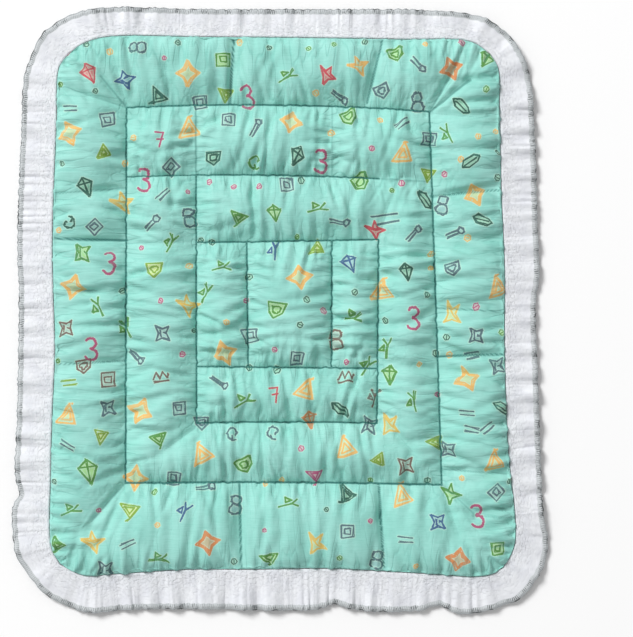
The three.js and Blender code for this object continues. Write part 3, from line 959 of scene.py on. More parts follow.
# %% Lay out the ruffle
def ruffle_rows():
    """The ruffle's middle surface as rows of points, with each one's place on the flat strip."""
    rng = np.random.default_rng(21)
    root, total = even_steps(seam, RUFFLE_ROUND)
    along = np.roll(root, -1, axis=0) - np.roll(root, 1, axis=0)
    out = np.column_stack([-along[:, 1], along[:, 0]])
    out = np.column_stack([softened(out[:, axis], 14) for axis in range(2)])
    out /= np.linalg.norm(out, axis=1)[:, None]
    free = outline(FREE_SIDES, (150, 170, 150, 170))
    reach = reach_along(root, out, free)
    reach = np.where(np.isfinite(reach), reach, np.median(reach))
    reach = softened(reach, 4)
    at = np.arange(RUFFLE_ROUND) * total / RUFFLE_ROUND
    reach += 0.7 * uneven_wave(rng, at, total, 9)
    broad_wave = main_wave(at / total)
    rows, flats = [], []
    wander = 2.2 * uneven_wave(rng, at, total, 55) + 1.2 * uneven_wave(rng, at, total, 23)
    seeds = rng.integers(0, 10**6, 3)
    broken = [uneven_wave(rng, at, total, pitch) for pitch in (31, 47)]
    pebbles = np.zeros(RUFFLE_ROUND)
    for s in ROW_SHARES:
        pebbles = 0.45 * pebbles + 0.9 * softened(rng.normal(0, 1.6, RUFFLE_ROUND), 1.3)
        place = at + wander * s + rng.normal(0, 0.12, RUFFLE_ROUND)
        crimp, small, middle = (uneven_wave(np.random.default_rng(seed), place, total, pitch, 0.4)
                                for seed, pitch in zip(seeds, FOLD_PITCHES))
        drift = np.sin(at / 5.3 + 9 * s + 2.5 * broken[0]) * np.sin(at / 11.7 - 7 * s + 2.5 * broken[1])
        patch = 0.5 + 0.5 * drift
        leaving = min(1.0, s / 0.1)
        fine_part = leaving * (0.2 * crimp * patch * (1 - 0.5 * s) + 0.5 * small * patch * (0.4 + 0.6 * s))
        fine_part += leaving * 0.3 * pebbles * (1 - 0.75 * s)
        wide_part = 1.3 * middle * s + RUFFLE_WAVE * s * broad_wave
        height = RUFFLE_ROOT + (RUFFLE_EDGE - RUFFLE_ROOT) * s**0.8 + fine_part + wide_part
        floor = RUFFLE_THICK / 2 + 0.15
        height = floor + np.logaddexp(0, (height - floor) * 1.6) / 1.6
        height = height * leaving + RUFFLE_ROOT * (1 - leaving)
        far = RUFFLE_GAP + 0.5 + (reach - RUFFLE_GAP - 0.5) * s
        sideways = 0.35 * leaving * np.roll(small, 3)
        here = root + out * far[:, None] + np.column_stack([out[:, 1], -out[:, 0]]) * sideways[:, None]
        rows.append(np.column_stack([here, height]))
        from_hem = (1 - s) * reach / HEM
        flats.append(np.column_stack([at * GATHERED, np.full(len(at), STRIP_WIDTH * s), from_hem]))
    return np.array(rows), np.array(flats)


def surface_normals(rows):
    """Upward normals of a closed band of rows of points."""
    around = np.roll(rows, -1, axis=1) - np.roll(rows, 1, axis=1)
    outwards = np.gradient(rows, axis=0)
    normal = np.cross(around, outwards)
    normal /= np.linalg.norm(normal, axis=2)[..., None]
    return normal * np.sign(normal[..., 2:].mean())


ruffle_middle, ruffle_flat = ruffle_rows()
ruffle_up = surface_normals(ruffle_middle)
half_thick = RUFFLE_THICK / 2
ruffle_top = ruffle_middle + ruffle_up * half_thick
ruffle_back = ruffle_middle - ruffle_up * half_thick
ruffle_back[..., 2] = np.maximum(ruffle_back[..., 2], 0.05)


def closed_band(top, back):
    """Points and faces of a thin closed ring, from its upper and lower rows."""
    rows, count = top.shape[:2]
    points = np.vstack([top.reshape(-1, 3), back.reshape(-1, 3)])
    upper = np.arange(rows * count).reshape(rows, count)
    lower = upper + rows * count
    around = [*upper[::-1], *lower]
    faces = [strip_faces(outer, inner) for outer, inner in zip(around, around[1:] + around[:1])]
    return points, np.vstack(faces)


band_points, band_faces = closed_band(ruffle_top, ruffle_back)
ruffle = make_object("gathered_ruffle_cloth", to_row(band_points), band_faces)
both_layers = np.vstack([ruffle_flat.reshape(-1, 3)] * 2)
corner_flat = both_layers[band_faces]
strip_length = corner_flat[..., 0].max() * RUFFLE_ROUND / (RUFFLE_ROUND - 1)
across_join = np.ptp(corner_flat[..., 0], axis=1) > strip_length / 2
corner_flat[across_join, :, 0] += strip_length * (corner_flat[across_join, :, 0] < strip_length / 2)
set_attribute(ruffle.data, "sheet", "FLOAT_VECTOR", "CORNER", corner_flat, "vector")
ruffle.data.shade_smooth()
print("ruffle:", len(ruffle.data.polygons), "faces, from", f"{band_points[:, 2].min():.1f}",
      f"to {band_points[:, 2].max():.1f} mm high")

# %% [markdown]
# ## The overlocked hem
#
# An overlocker trims the free edge and wraps it in thread: short stitches side by side across the hem,
# locked by a looped chain along the edge. Drawing them in the shader would leave the edge flat, so both are
# sewn with the stitching tree, each on its own path along the ruffle's rows.

# %% Sew the hem
def hem_paths(rows, normals, lift):
    """A closed path along the hem's middle, lifted off the cloth."""
    share = 1 - 0.5 * HEM / RUFFLE_REACH
    k = int(np.searchsorted(ROW_SHARES, share)) - 1
    part = (share - ROW_SHARES[k]) / (ROW_SHARES[k + 1] - ROW_SHARES[k])
    places = rows[k] * (1 - part) + rows[k + 1] * part
    ups = normals[k] * (1 - part) + normals[k + 1] * part
    return to_row(np.vstack([places + ups * lift, (places + ups * lift)[:1]])), np.vstack([ups, ups[:1]])


upper_path, upper_up = hem_paths(ruffle_middle, ruffle_up, half_thick + 0.1)
hem_stitches = sew("overlock_stitches", [upper_path], [upper_up], Pitch=0.0023, Stitch_Length=0.0060,
                   Thread_Width=0.0012, Turn=math.pi / 2 - 0.12, Unevenness=0.10, Roundness=1, Seed=6,
                   Thread=overlock_thread)
edge_at = ruffle_middle[-1]
edge_way = ruffle_middle[-1] - ruffle_middle[-2]
edge_way /= np.linalg.norm(edge_way, axis=1)[:, None]
edge_path = edge_at + edge_way * 0.2
edge_path[:, 2] = np.maximum(edge_path[:, 2], 0.7)
edge_up = ruffle_up[-1]
edge_thread = sew("overlock_edge", [to_row(np.vstack([edge_path, edge_path[:1]]))],
                  [np.vstack([edge_up, edge_up[:1]])], Pitch=0.0020, Stitch_Length=0.0030,
                  Thread_Width=0.0017, Turn=0.35, Unevenness=0.15, Roundness=1, Seed=7,
                  Thread=edge_loop_thread)

# %% [markdown]
# ## The print
#
# The cotton is printed with small drawn things: digits, stars, boxes, kites and beads. The sheet has to
# carry them over every fold, and an image is not wanted here, so they are kept as what they are: strokes.
# Each motif is a few straight strokes on the flat cloth. Every face of the pad stores the three strokes
# that pass nearest to it, and the shader draws them from the distance to each, sharp at any scale.

# %% Motifs, drawn in a square from -1 to 1
def sweep(points, rounds=2):
    """Rounds the corners of a drawn stroke."""
    p = np.array(points, float)
    closed = np.allclose(p[0], p[-1])
    for _ in range(rounds):
        left = p[:-1] * 0.75 + p[1:] * 0.25
        right = p[:-1] * 0.25 + p[1:] * 0.75
        p = np.dstack([left, right]).transpose(0, 2, 1).reshape(-1, 2)
        p = np.vstack([p, p[:1]]) if closed else p
    return p


def ring(radius, middle=(0, 0)):
    turn = np.linspace(0, 2 * np.pi, 7)
    return np.column_stack([np.cos(turn), np.sin(turn)]) * radius + middle


def star_points(outer, inner):
    turn = np.pi / 2 + np.arange(9) * np.pi / 4
    reach = np.where(np.arange(9) % 2, inner, outer)
    return np.column_stack([np.cos(turn), np.sin(turn)]) * reach[:, None]


def shape(*corners):
    """A closed stroke with straight sides."""
    return np.array(corners + corners[:1], float)


# Each doodle: its strokes, and the closed ones that are filled
DOODLES = {
    "three": ([sweep([(-.5, .62), (-.3, 1), (.25, 1), (.5, .6), (.3, .15), (-.15, .05)]),
               sweep([(-.15, .05), (.45, 0), (.65, -.5), (.4, -.98), (-.2, -1), (-.6, -.62)])], []),
    "eight": ([sweep(shape((-.5, .95), (.45, 1), (.5, .1), (-.5, .05))),
               sweep(shape((-.6, .05), (.5, .1), (.65, -.95), (-.65, -1)))], [0, 1]),
    "seven": ([np.array([(-.55, .9), (.55, .95), (.05, -1)]), np.array([(-.25, 0), (.5, .05)])], []),
    "star": ([star_points(1, .55), star_points(.78, .42)], [0]),
    "bird": ([shape((-1, .7), (-.25, .35), (.1, 1), (.25, .2), (1, -.1), (.2, -.35), (-.1, -1),
                    (-.35, -.2)), np.array([(-.8, .5), (.1, 0), (.7, -.1)])], [0]),
    "tent": ([shape((-.85, -.8), (.05, .95), (.85, -.65)), shape((-.4, -.45), (.05, .4), (.42, -.38)),
              np.array([(.05, .95), (.3, 1)])], [0]),
    "triangle": ([shape((-.9, -.7), (.9, -.6), (0, .9)), shape((-.45, -.42), (.45, -.36), (0, .4))], [0]),
    "kite": ([shape((-.75, .45), (0, 1), (.75, .35), (.1, -1)), np.array([(-.75, .45), (.75, .35)]),
              np.array([(0, 1), (.1, -1)])], [0]),
    "pocket": ([shape((-.9, .6), (.9, .75), (.75, -.2), (0, -.9), (-.75, -.25)),
                sweep(shape((-.5, .3), (.5, .4), (.35, -.15), (0, -.45), (-.4, -.1)), 1)], [0]),
    "flag": ([shape((-.9, .8), (1, .25), (-.2, -.75)), np.array([(-.2, -.75), (-.55, -1)]),
              shape((-.45, .45), (.5, .2), (-.1, -.3))], [0]),
    "square": ([shape((-.9, .9), (.95, .85), (.9, -.9), (-.85, -.95)),
                shape((-.45, .45), (.45, .4), (.4, -.45), (-.4, -.4))], [0]),
    "bobbin": ([shape((-.85, .95), (0, .6), (.8, .9), (.55, 0), (.9, -.9), (0, -.6), (-.8, -.95),
                      (-.55, 0)), np.array([(-.3, .45), (-.25, -.45)]),
                np.array([(.2, .1), (.5, 0)])], [0]),
    "zigzag": ([np.array([(-1, -.4), (-.55, .5), (-.1, -.4), (.35, .5), (.8, -.4), (1, .1)]),
                np.array([(-1, -.8), (.9, -.75)])], []),
    "hook": ([sweep([(.8, -.8), (-.7, -.7), (-.75, .6), (.3, .85), (.65, .1), (0, -.1)]),
              np.array([(-.2, -.75), (-.25, -.3)])], []),
    "twig": ([np.array([(-.35, -1), (.2, .2), (.1, 1)]), np.array([(.2, .2), (.85, .75)]),
              shape((-.8, .1), (-.15, .45), (-.3, -.2))], [2]),
    "pen": ([shape((-1, .1), (-.45, .5), (.65, .3), (1, -.05), (.6, -.35), (-.5, -.3)),
             np.array([(-.7, .1), (.7, -.02)])], [0]),
    "dashes": ([np.array([(-1, .25), (.9, .35)]), np.array([(-.8, -.35), (1, -.2)])], []),
    "pin": ([np.array([(-.9, -.5), (.4, .35)]), np.array([(-.7, -.8), (.55, .05)]),
             ring(.38, (.72, .4))], [2]),
    "bead": ([ring(.85), np.array([(-.4, .3), (.4, -.3)])], [0]),
}

# Each kind's usual half height, ink and largest turn in degrees, then where it lies. After its place, a
# motif may have a half height, a turn and an ink of its own.
Motifs = namedtuple("Motifs", "size ink wobble places")
PRINT = {
    "three": Motifs(13, "plum", 8, [(-164, 154), (-40, 253), (-204, 55), (48, 176), (158, -11),
        (-226, -48), (235, -247)]),
    "eight": Motifs(11, "grey", 10, [(-170, 313, 10, 90, "grey"), (-108, 109), (164, 247), (194, 124),
        (67, -37, 12, 5, "brown"), (-53, -234), (116, -301)]),
    "seven": Motifs(9, "plum", 15, [(-144, 202), (-7, -102, 9, 10, "red")]),
    "star": Motifs(15, "orange", 25, [(-110, 281), (-251, 209), (13, 223, 13), (-247, 26), (23, 38),
        (204, 287, 14, 20, "rust"), (233, 137, 13), (-66, -53), (-167, -122), (223, -83),
        (-86, -278, 14, 10, "rust"), (212, -299, 14, -10, "rust"), (-173, -202)]),
    "bird": Motifs(13, "yellow", 40, [(43, -280), (-187, 127), (-109, 4), (94, 290, 12, 30, "orange"),
        (56, 278, 11, -20, "red"), (131, -139), (-222, -278), (205, -6), (114, 94, 11, 15, "red"),
        (204, -221, 12, 0, "green")]),
    "tent": Motifs(14, "orange", 30, [(-109, 216), (146, 186), (-254, -126), (31, -95), (77, -164),
        (-94, -172), (145, -222), (256, -181), (260, 26), (121, 23)]),
    "triangle": Motifs(9, "lime", 60, [(-210, 187), (-214, -150), (118, -178), (187, -158), (-66, 257),
        (176, 162), (44, 74)]),
    "kite": Motifs(13, "green", 30, [(-228, -194, 15, 10, "green"), (-228, 281, 12, 20, "red"),
        (19, 182, 11, -30, "dark"), (83, 54, 11, 20, "blue"), (150, 44, 10, 10, "dark"),
        (246, 299, 11, -35, "green"), (130, -79, 11), (35, -132, 10, 10, "rust"), (-7, 114, 10),
        (-232, 145, 12, 20, "dark")]),
    "pocket": Motifs(11, "green", 30, [(-5, -1, 12), (-43, -186), (205, 48, 10, 10, "grey"),
        (-80, 180, 10, 0, "dark"), (121, 260, 10, 15, "grey"), (137, 305, 10), (82, 230, 11),
        (96, 152, 11), (-235, -68, 10, 5, "brown"), (-94, -136, 9, 0, "grey"),
        (-150, 47, 10, 0, "lime")]),
    "flag": Motifs(11, "dark", 30, [(-146, 253), (-179, -240, 12, 10, "lime"), (79, -222),
        (-49, 108, 10, 0, "green"), (-12, -299, 11, 20, "green"), (-266, -282, 10, -10, "green"),
        (-144, -155, 10, 30, "green"), (42, -199, 10, 20, "pink")]),
    "square": Motifs(8, "grey", 12, [(-206, 226), (-130, 169, 8, 45, "grey"), (-222, 98, 8, 45, "grey"),
        (-68, 298, 8, 3, "green"), (-62, 226), (20, -59), (-36, -32), (-127, -202), (80, -265),
        (260, -286, 8, 5, "green"), (-205, -84, 9, 4, "brown"), (-120, -118), (258, -218, 8, 45, "grey"),
        (178, 203), (8, 149), (-96, 247)]),
    "bobbin": Motifs(9, "grey", 14, [(-140, -29), (-205, -118), (234, -32), (150, -187, 10, 5, "brown"),
        (200, -168), (107, -139), (-209, -312), (-256, -23, 9, 5, "brown"), (260, -68),
        (-185, 274, 9, 60, "blue"), (-236, 67, 10, -6, "green"), (188, -254, 9, 0, "blue")]),
    "zigzag": Motifs(9, "brown", 20, [(-142, -79), (78, -79)]),
    "hook": Motifs(9, "grey", 30, [(-8, -148), (-56, -149), (-30, 174, 9, 20, "green"),
        (-252, 103, 9, 160, "dark")]),
    "twig": Motifs(11, "green", 60, [(8, 277), (-70, 50), (199, 208), (44, 119), (-43, -110), (10, -232),
        (-145, -298), (-250, -240), (-217, 2), (126, -47), (104, -68), (86, -10), (158, -110), (-131, 79),
        (-184, -23), (-90, 19), (-114, -241, 11, 0, "blue"), (-7, 70, 10, 20, "blue"),
        (112, -106, 10, 10, "brown")]),
    "pen": Motifs(12, "dark", 70, [(216, 242), (173, 130), (241, 106), (71, -120), (265, -119),
        (227, 175)]),
    "dashes": Motifs(9, "grey", 40, [(-251, 239), (-139, 136), (-254, -162), (-252, -88, 9, 0, "lime"),
        (146, 222), (125, 107, 15, 5, "grey"), (-181, -280), (149, -275), (222, -124), (248, -142),
        (228, -144), (230, -56)]),
    "pin": Motifs(10, "grey", 80, [(-154, 102), (-172, -56), (-73, -86), (71, 104), (164, 292),
        (-30, 216), (158, 90), (-90, -212), (208, 91), (71, 254)]),
}
# Small beads between them, by ink
BEADS = {
    "pink": [(-256, 306), (-138, 299), (-85, 152), (-55, 146), (-25, 146), (-110, 140), (-166, 73),
             (196, 161), (109, 191), (234, 2), (-19, -264), (107, -253), (-116, -54), (25, -166),
             (-217, -240), (-7, -49), (188, -102), (-41, 10), (-142, 10), (79, -64), (53, -2), (217, 319),
             (145, 150)],
    "orange": [(-203, 308), (42, 258), (-175, 204), (-186, 174), (-265, 94), (119, 226), (61, 210),
               (215, 178), (173, 316), (-108, 52), (-64, -16), (166, -66), (202, -55), (-146, -257),
               (162, -307), (-18, -209), (2, -205), (217, -202), (224, 85), (181, 66), (181, 49),
               (236, 205), (258, 212), (-49, 319)],
    "dark": [(-221, 260), (-187, 22), (25, 154), (124, -14), (198, -34), (186, -53), (176, -205),
             (55, -239), (24, -19), (-55, -302), (-232, 317), (-122, 319), (175, 17), (89, 20), (32, 11),
             (-38, 38), (-95, 82), (-82, 80), (-103, -26), (-37, -70), (-4, -72), (-262, 173),
             (-270, -206), (275, -206), (262, 187), (260, 157), (101, 320), (-13, 313)],
    "green": [(-264, 268), (34, 311), (64, 316), (246, 262), (133, 142), (20, 85), (-150, -217),
              (71, -299), (108, -205), (266, -28), (-266, -62)],
}

# Inks in sRGB: the stroke, the filling and how strongly it is filled
Ink = namedtuple("Ink", "stroke filling strength")
INKS = {
    "plum": Ink((178, 74, 116), (220, 120, 150), 0.0), "red": Ink((196, 76, 88), (214, 96, 100), 0.8),
    "pink": Ink((186, 80, 128), (226, 140, 170), 0.8), "rust": Ink((216, 138, 84), (214, 170, 120), 0.7),
    "orange": Ink((232, 182, 104), (212, 214, 146), 0.6),
    "yellow": Ink((222, 188, 96), (214, 218, 134), 0.6),
    "lime": Ink((130, 165, 60), (212, 222, 110), 0.8), "green": Ink((84, 142, 62), (168, 214, 128), 0.8),
    "dark": Ink((46, 88, 76), (118, 178, 140), 0.6), "grey": Ink((84, 106, 116), (158, 190, 192), 0.5),
    "brown": Ink((116, 92, 84), (172, 168, 154), 0.5), "blue": Ink((64, 94, 140), (146, 184, 206), 0.5),
}
USUAL_HALF_WIDTH = 0.9  # of a stroke, in mm
HALF_WIDTH = {"three": 1.6, "seven": 1.1, "star": 1.0, "bird": 0.95, "tent": 1.0, "eight": 0.95,
              "bead": 0.6, "square": 0.75, "dashes": 0.75}
DRAWN_ONCE = ("three", "seven", "bead")  # the rest are gone over twice, with a less steady hand
STEADY, SHAKY = 0.25, 0.6  # mm that a corner is usually off its place
print(len(DOODLES), "doodles,", sum(len(motifs.places) for motifs in PRINT.values()), "motifs,",
      sum(map(len, BEADS.values())), "beads")


# %% Work out each face's nearest strokes
FAR_OFF = 9000.0  # mm; where the strokes of a bare face lie
STROKES_KEPT = 3  # for each face
PRINT_NEAR = 3.0  # mm from a stroke to the middle of a face that counts as printed


def linear(colour):
    """An sRGB colour, 0 to 255, as the linear numbers that Blender mixes."""
    part = np.array(colour, float) / 255
    return np.where(part <= 0.04045, part / 12.92, ((part + 0.055) / 1.055) ** 2.4)


def listed_motifs(rng):
    """Every motif and bead as (kind, x, y, half height, turn, ink)."""
    listed = []
    for kind, motifs in PRINT.items():
        for x, y, *own in motifs.places:
            usual = [motifs.size, rng.uniform(-motifs.wobble, motifs.wobble), motifs.ink]
            listed.append((kind, x, y, *own, *usual[len(own):]))
    for ink, places in BEADS.items():
        listed += [("bead", x, y, rng.uniform(2.8, 4.6), rng.uniform(0, 180), ink) for x, y in places]
    return listed


def placed_motifs():
    """Every motif on the cloth as (middle, half size, strokes, filled outlines, ink, half width)."""
    rng = np.random.default_rng(12)
    for kind, x, y, size, turn, ink in listed_motifs(rng):
        strokes, filled = DOODLES[kind]
        angle = math.radians(turn)
        spin = np.array(((math.cos(angle), math.sin(angle)), (-math.sin(angle), math.cos(angle))))
        passes, hand = (1, STEADY) if kind in DRAWN_ONCE else (2, SHAKY)
        lines = []
        for stroke in strokes * passes:
            line = stroke @ spin * size + rng.normal(0, hand, stroke.shape) + (x, y)
            if np.allclose(stroke[0], stroke[-1]):
                line[-1] = line[0]
            lines.append(line)
        outlines = [lines[i] for i in filled]
        yield np.array((x, y)), size, lines, outlines, INKS[ink], HALF_WIDTH.get(kind, USUAL_HALF_WIDTH)


def inside(outline_points, places):
    """Which places lie inside a closed outline, by counting the edges to their right."""
    within = np.zeros(len(places), bool)
    for (x0, y0), (x1, y1) in zip(outline_points, outline_points[1:]):
        spans = (y0 > places[:, 1]) != (y1 > places[:, 1])
        if y0 != y1:
            at = x0 + (places[:, 1] - y0) * (x1 - x0) / (y1 - y0)
            within ^= spans & (places[:, 0] < at)
    return within


def face_middles(mesh, flat):
    """Where the middle of each four-cornered face lies on the flat cloth."""
    corners = np.zeros(len(mesh.polygons) * 4, int)
    mesh.polygons.foreach_get("vertices", corners)
    return flat[corners.reshape(-1, 4)].mean(axis=1)


def nearest_strokes(far, strokes, away, pieces):
    """The nearest strokes of each face, out of those it has and the pieces of one more motif."""
    closest = np.argsort(away, axis=1)[:, :STROKES_KEPT]
    rows = np.arange(len(away))[:, None]
    both_far = np.hstack([far, away[rows, closest]])
    both = np.concatenate([strokes, pieces[closest]], axis=1)
    order = np.argsort(both_far, axis=1)[:, :STROKES_KEPT]
    return both_far[rows, order], both[rows, order]


def print_cloth(mesh):
    """Store the strokes, inks and fillings on the pad's mesh, and count the faces that carry print."""
    flat = read_attribute(mesh, "sheet", "vector", 3)
    middles = face_middles(mesh, flat)
    top, top_point = on_top(middles), on_top(flat)
    face_squares, point_squares = by_square(middles[:, :2]), by_square(flat[:, :2])
    far = np.full((len(middles), STROKES_KEPT), FAR_OFF)
    nowhere = np.array((FAR_OFF, FAR_OFF, FAR_OFF + 1, FAR_OFF))
    strokes = np.tile(nowhere, (len(middles), STROKES_KEPT, 1))
    ink = np.zeros((len(middles), 4))
    filling = np.zeros((len(flat), 4))
    for middle, size, lines, filled, colours, half in placed_motifs():
        reach = size * 1.5 + 5
        near = in_box(face_squares, middle - reach, middle + reach)
        near = near[top[near]]
        if not len(near):
            continue
        pieces = np.vstack([np.hstack([line[:-1], line[1:]]) for line in lines])
        away = np.column_stack([distance_to((p[:2], p[2:]), middles[near, :2]) for p in pieces])
        newer = away.min(axis=1) < far[near, 0]
        ink[near[newer]] = (*linear(colours.stroke), half)
        far[near], strokes[near] = nearest_strokes(far[near], strokes[near], away, pieces)
        points = in_box(point_squares, middle - reach, middle + reach)
        points = points[top_point[points]]
        for outline_points in filled:
            covered = points[inside(outline_points, flat[points, :2])]
            filling[covered] = (*linear(colours.filling) * colours.strength, colours.strength)
    for i in range(STROKES_KEPT):
        set_attribute(mesh, f"stroke_{i + 1}", "FLOAT_COLOR", "FACE", strokes[:, i], "color")
    set_attribute(mesh, "ink", "FLOAT_COLOR", "FACE", ink, "color")
    set_attribute(mesh, "filling", "FLOAT_COLOR", "POINT", filling, "color")
    return int((far[:, 0] < PRINT_NEAR).sum())


clock = time.time()
print(print_cloth(pad.data), "faces carry print,", f"{time.time() - clock:.0f} s")

# %% [markdown]
# ## Finishes
#
# Both cloths are plain-weave cotton, so the weave and the crumple that a washed cotton keeps are shader
# groups that both use. Two more, for the printed cloth, measure the distance to a stored stroke and draw
# the finest gathers. Each group puts out masks or heights only, and each cloth has its own shader.

# %% Shared shader groups
def ranged(tree, value, low, high, out_low=0.0, out_high=1.0, smooth=True):
    made = node(tree, "ShaderNodeMapRange", {0: value, 1: low, 2: high, 3: out_low, 4: out_high},
                interpolation_type="SMOOTHSTEP" if smooth else "LINEAR")
    return made.outputs[0]


def weave_group():
    """Threads over and under: a height from a place on the flat cloth in millimetres."""
    tree, given, result = node_group(
        "Plain weave", "ShaderNodeTree",
        [("Place", "NodeSocketVector", None), ("Thread Pitch", "NodeSocketFloat", 0.5)],
        [("Height", "NodeSocketFloat")])
    turns = math_node(tree, "DIVIDE", math.pi, given["Thread Pitch"])
    scaled = node(tree, "ShaderNodeVectorMath", {0: given["Place"], "Scale": turns}, operation="SCALE")
    parts = node(tree, "ShaderNodeSeparateXYZ", {0: scaled.outputs[0]})
    waves = [math_node(tree, "SINE", parts.outputs[axis]) for axis in (0, 1)]
    crossed = math_node(tree, "MULTIPLY", waves[0], waves[1])
    tree.links.new(math_node(tree, "ABSOLUTE", crossed), result[0])
    return tree


def crumple_group():
    """Creases of washed cotton: a height that runs from soft hills to sharp ridges."""
    tree, given, result = node_group(
        "Cotton crumple", "ShaderNodeTree",
        [("Place", "NodeSocketVector", None), ("Size", "NodeSocketFloat", 8.0),
         ("Sharpness", "NodeSocketFloat", 0.6)],
        [("Height", "NodeSocketFloat")])
    scale = math_node(tree, "DIVIDE", 1.0, given["Size"])
    soft = node(tree, "ShaderNodeTexNoise", {"Vector": given["Place"], "Scale": scale, "Detail": 3.0,
                                             "Roughness": 0.55, "Distortion": 0.8})
    centred = math_node(tree, "SUBTRACT", soft.outputs[0], 0.5)
    ridge = math_node(tree, "ABSOLUTE", centred)
    sharp = math_node(tree, "MULTIPLY", ridge, -2.0)
    height = node(tree, "ShaderNodeMix", {0: given["Sharpness"], 2: centred, 3: sharp}, data_type="FLOAT")
    tree.links.new(height.outputs[0], result[0])
    return tree


def stroke_group():
    """How far a place on the cloth is from a straight stroke stored as a colour and its alpha."""
    tree, given, result = node_group(
        "Distance to a stroke", "ShaderNodeTree",
        [("Place", "NodeSocketVector", None), ("Stroke", "NodeSocketColor", None),
         ("Last Part", "NodeSocketFloat", 0.0)],
        [("Distance", "NodeSocketFloat")])
    parts = node(tree, "ShaderNodeSeparateColor", {0: given["Stroke"]})
    start = node(tree, "ShaderNodeCombineXYZ", {0: parts.outputs[0], 1: parts.outputs[1]}).outputs[0]
    end = node(tree, "ShaderNodeCombineXYZ", {0: parts.outputs[2], 1: given["Last Part"]}).outputs[0]
    run = vector_node(tree, "SUBTRACT", end, start)
    gap = vector_node(tree, "SUBTRACT", given["Place"], start)
    length = math_node(tree, "MAXIMUM", vector_node(tree, "DOT_PRODUCT", run, run), 0.0001)
    share = node(tree, "ShaderNodeMath", {0: vector_node(tree, "DOT_PRODUCT", gap, run), 1: length},
                 operation="DIVIDE", use_clamp=True)
    nearest = node(tree, "ShaderNodeVectorMath", {0: run, "Scale": share.outputs[0]}, operation="SCALE")
    tree.links.new(vector_node(tree, "DISTANCE", gap, nearest.outputs[0]), result[0])
    return tree


def gathers_group():
    """The finest gathers beside a seam: sharp creases between soft hills, all running nearly one way."""
    tree, given, result = node_group(
        "Fine gathers", "ShaderNodeTree",
        [("Place", "NodeSocketVector", None), ("Across", "NodeSocketFloat", 1.0),
         ("Spacing", "NodeSocketFloat", 11.0), ("Length", "NodeSocketFloat", 52.0)],
        [("Height", "NodeSocketFloat"), ("Crease", "NodeSocketFloat")])
    close, long = (math_node(tree, "DIVIDE", 1.0, given[name]) for name in ("Spacing", "Length"))
    heights = []
    for sides in ((close, long), (long, close)):
        stretch = node(tree, "ShaderNodeCombineXYZ", {0: sides[0], 1: sides[1], 2: 1.0}).outputs[0]
        turned = vector_node(tree, "MULTIPLY", given["Place"], stretch)
        wave = node(tree, "ShaderNodeTexNoise", {"Vector": turned, "Scale": 1.0, "Detail": 1.5,
                                                 "Roughness": 0.45, "Distortion": 0.35})
        heights.append(math_node(tree, "SUBTRACT", wave.outputs[0], 0.5))
    both = node(tree, "ShaderNodeMix", {0: given["Across"], 2: heights[0], 3: heights[1]},
                data_type="FLOAT").outputs[0]
    crease = ranged(tree, math_node(tree, "ABSOLUTE", both), 0.0, 0.06, 1.0, 0.0)
    hill = math_node(tree, "MULTIPLY", both, 2.4)
    tree.links.new(math_node(tree, "SUBTRACT", hill, crease), result[0])
    tree.links.new(crease, result[1])
    return tree


WEAVE, CRUMPLE, STROKE, GATHERS = weave_group(), crumple_group(), stroke_group(), gathers_group()


def grouped(tree, group, inputs):
    """The results of a shared group, placed with its own inputs."""
    return node(tree, "ShaderNodeGroup", inputs, node_tree=group).outputs


def mixed(tree, factor, first, second):
    made = node(tree, "ShaderNodeMix", {0: factor, 6: first, 7: second}, data_type="RGBA")
    return made.outputs[2]


def shade(colour):
    return (*linear(colour), 1.0)


def attribute(tree, name):
    return node(tree, "ShaderNodeAttribute", attribute_name=name)


def matt_material(name, roughness, sheen):
    """A material with its Principled shader, whose even values are set on its own sockets."""
    material = bpy.data.materials.get(name) or bpy.data.materials.new(name)
    material.use_nodes = True
    shader = material.node_tree.nodes["Principled BSDF"]
    shader.inputs["Roughness"].default_value = roughness
    shader.inputs["Sheen Weight"].default_value = sheen
    shader.inputs["Sheen Roughness"].default_value = 0.5
    shader.inputs["Specular IOR Level"].default_value = 0.25
    return material, material.node_tree, shader


def bump(tree, shader, height, distance, strength=1.0, under=None):
    made = node(tree, "ShaderNodeBump", {"Height": height, "Distance": distance, "Strength": strength})
    if under is not None:
        tree.links.new(under, made.inputs["Normal"])
    tree.links.new(made.outputs[0], shader.inputs["Normal"])
    return made.outputs[0]


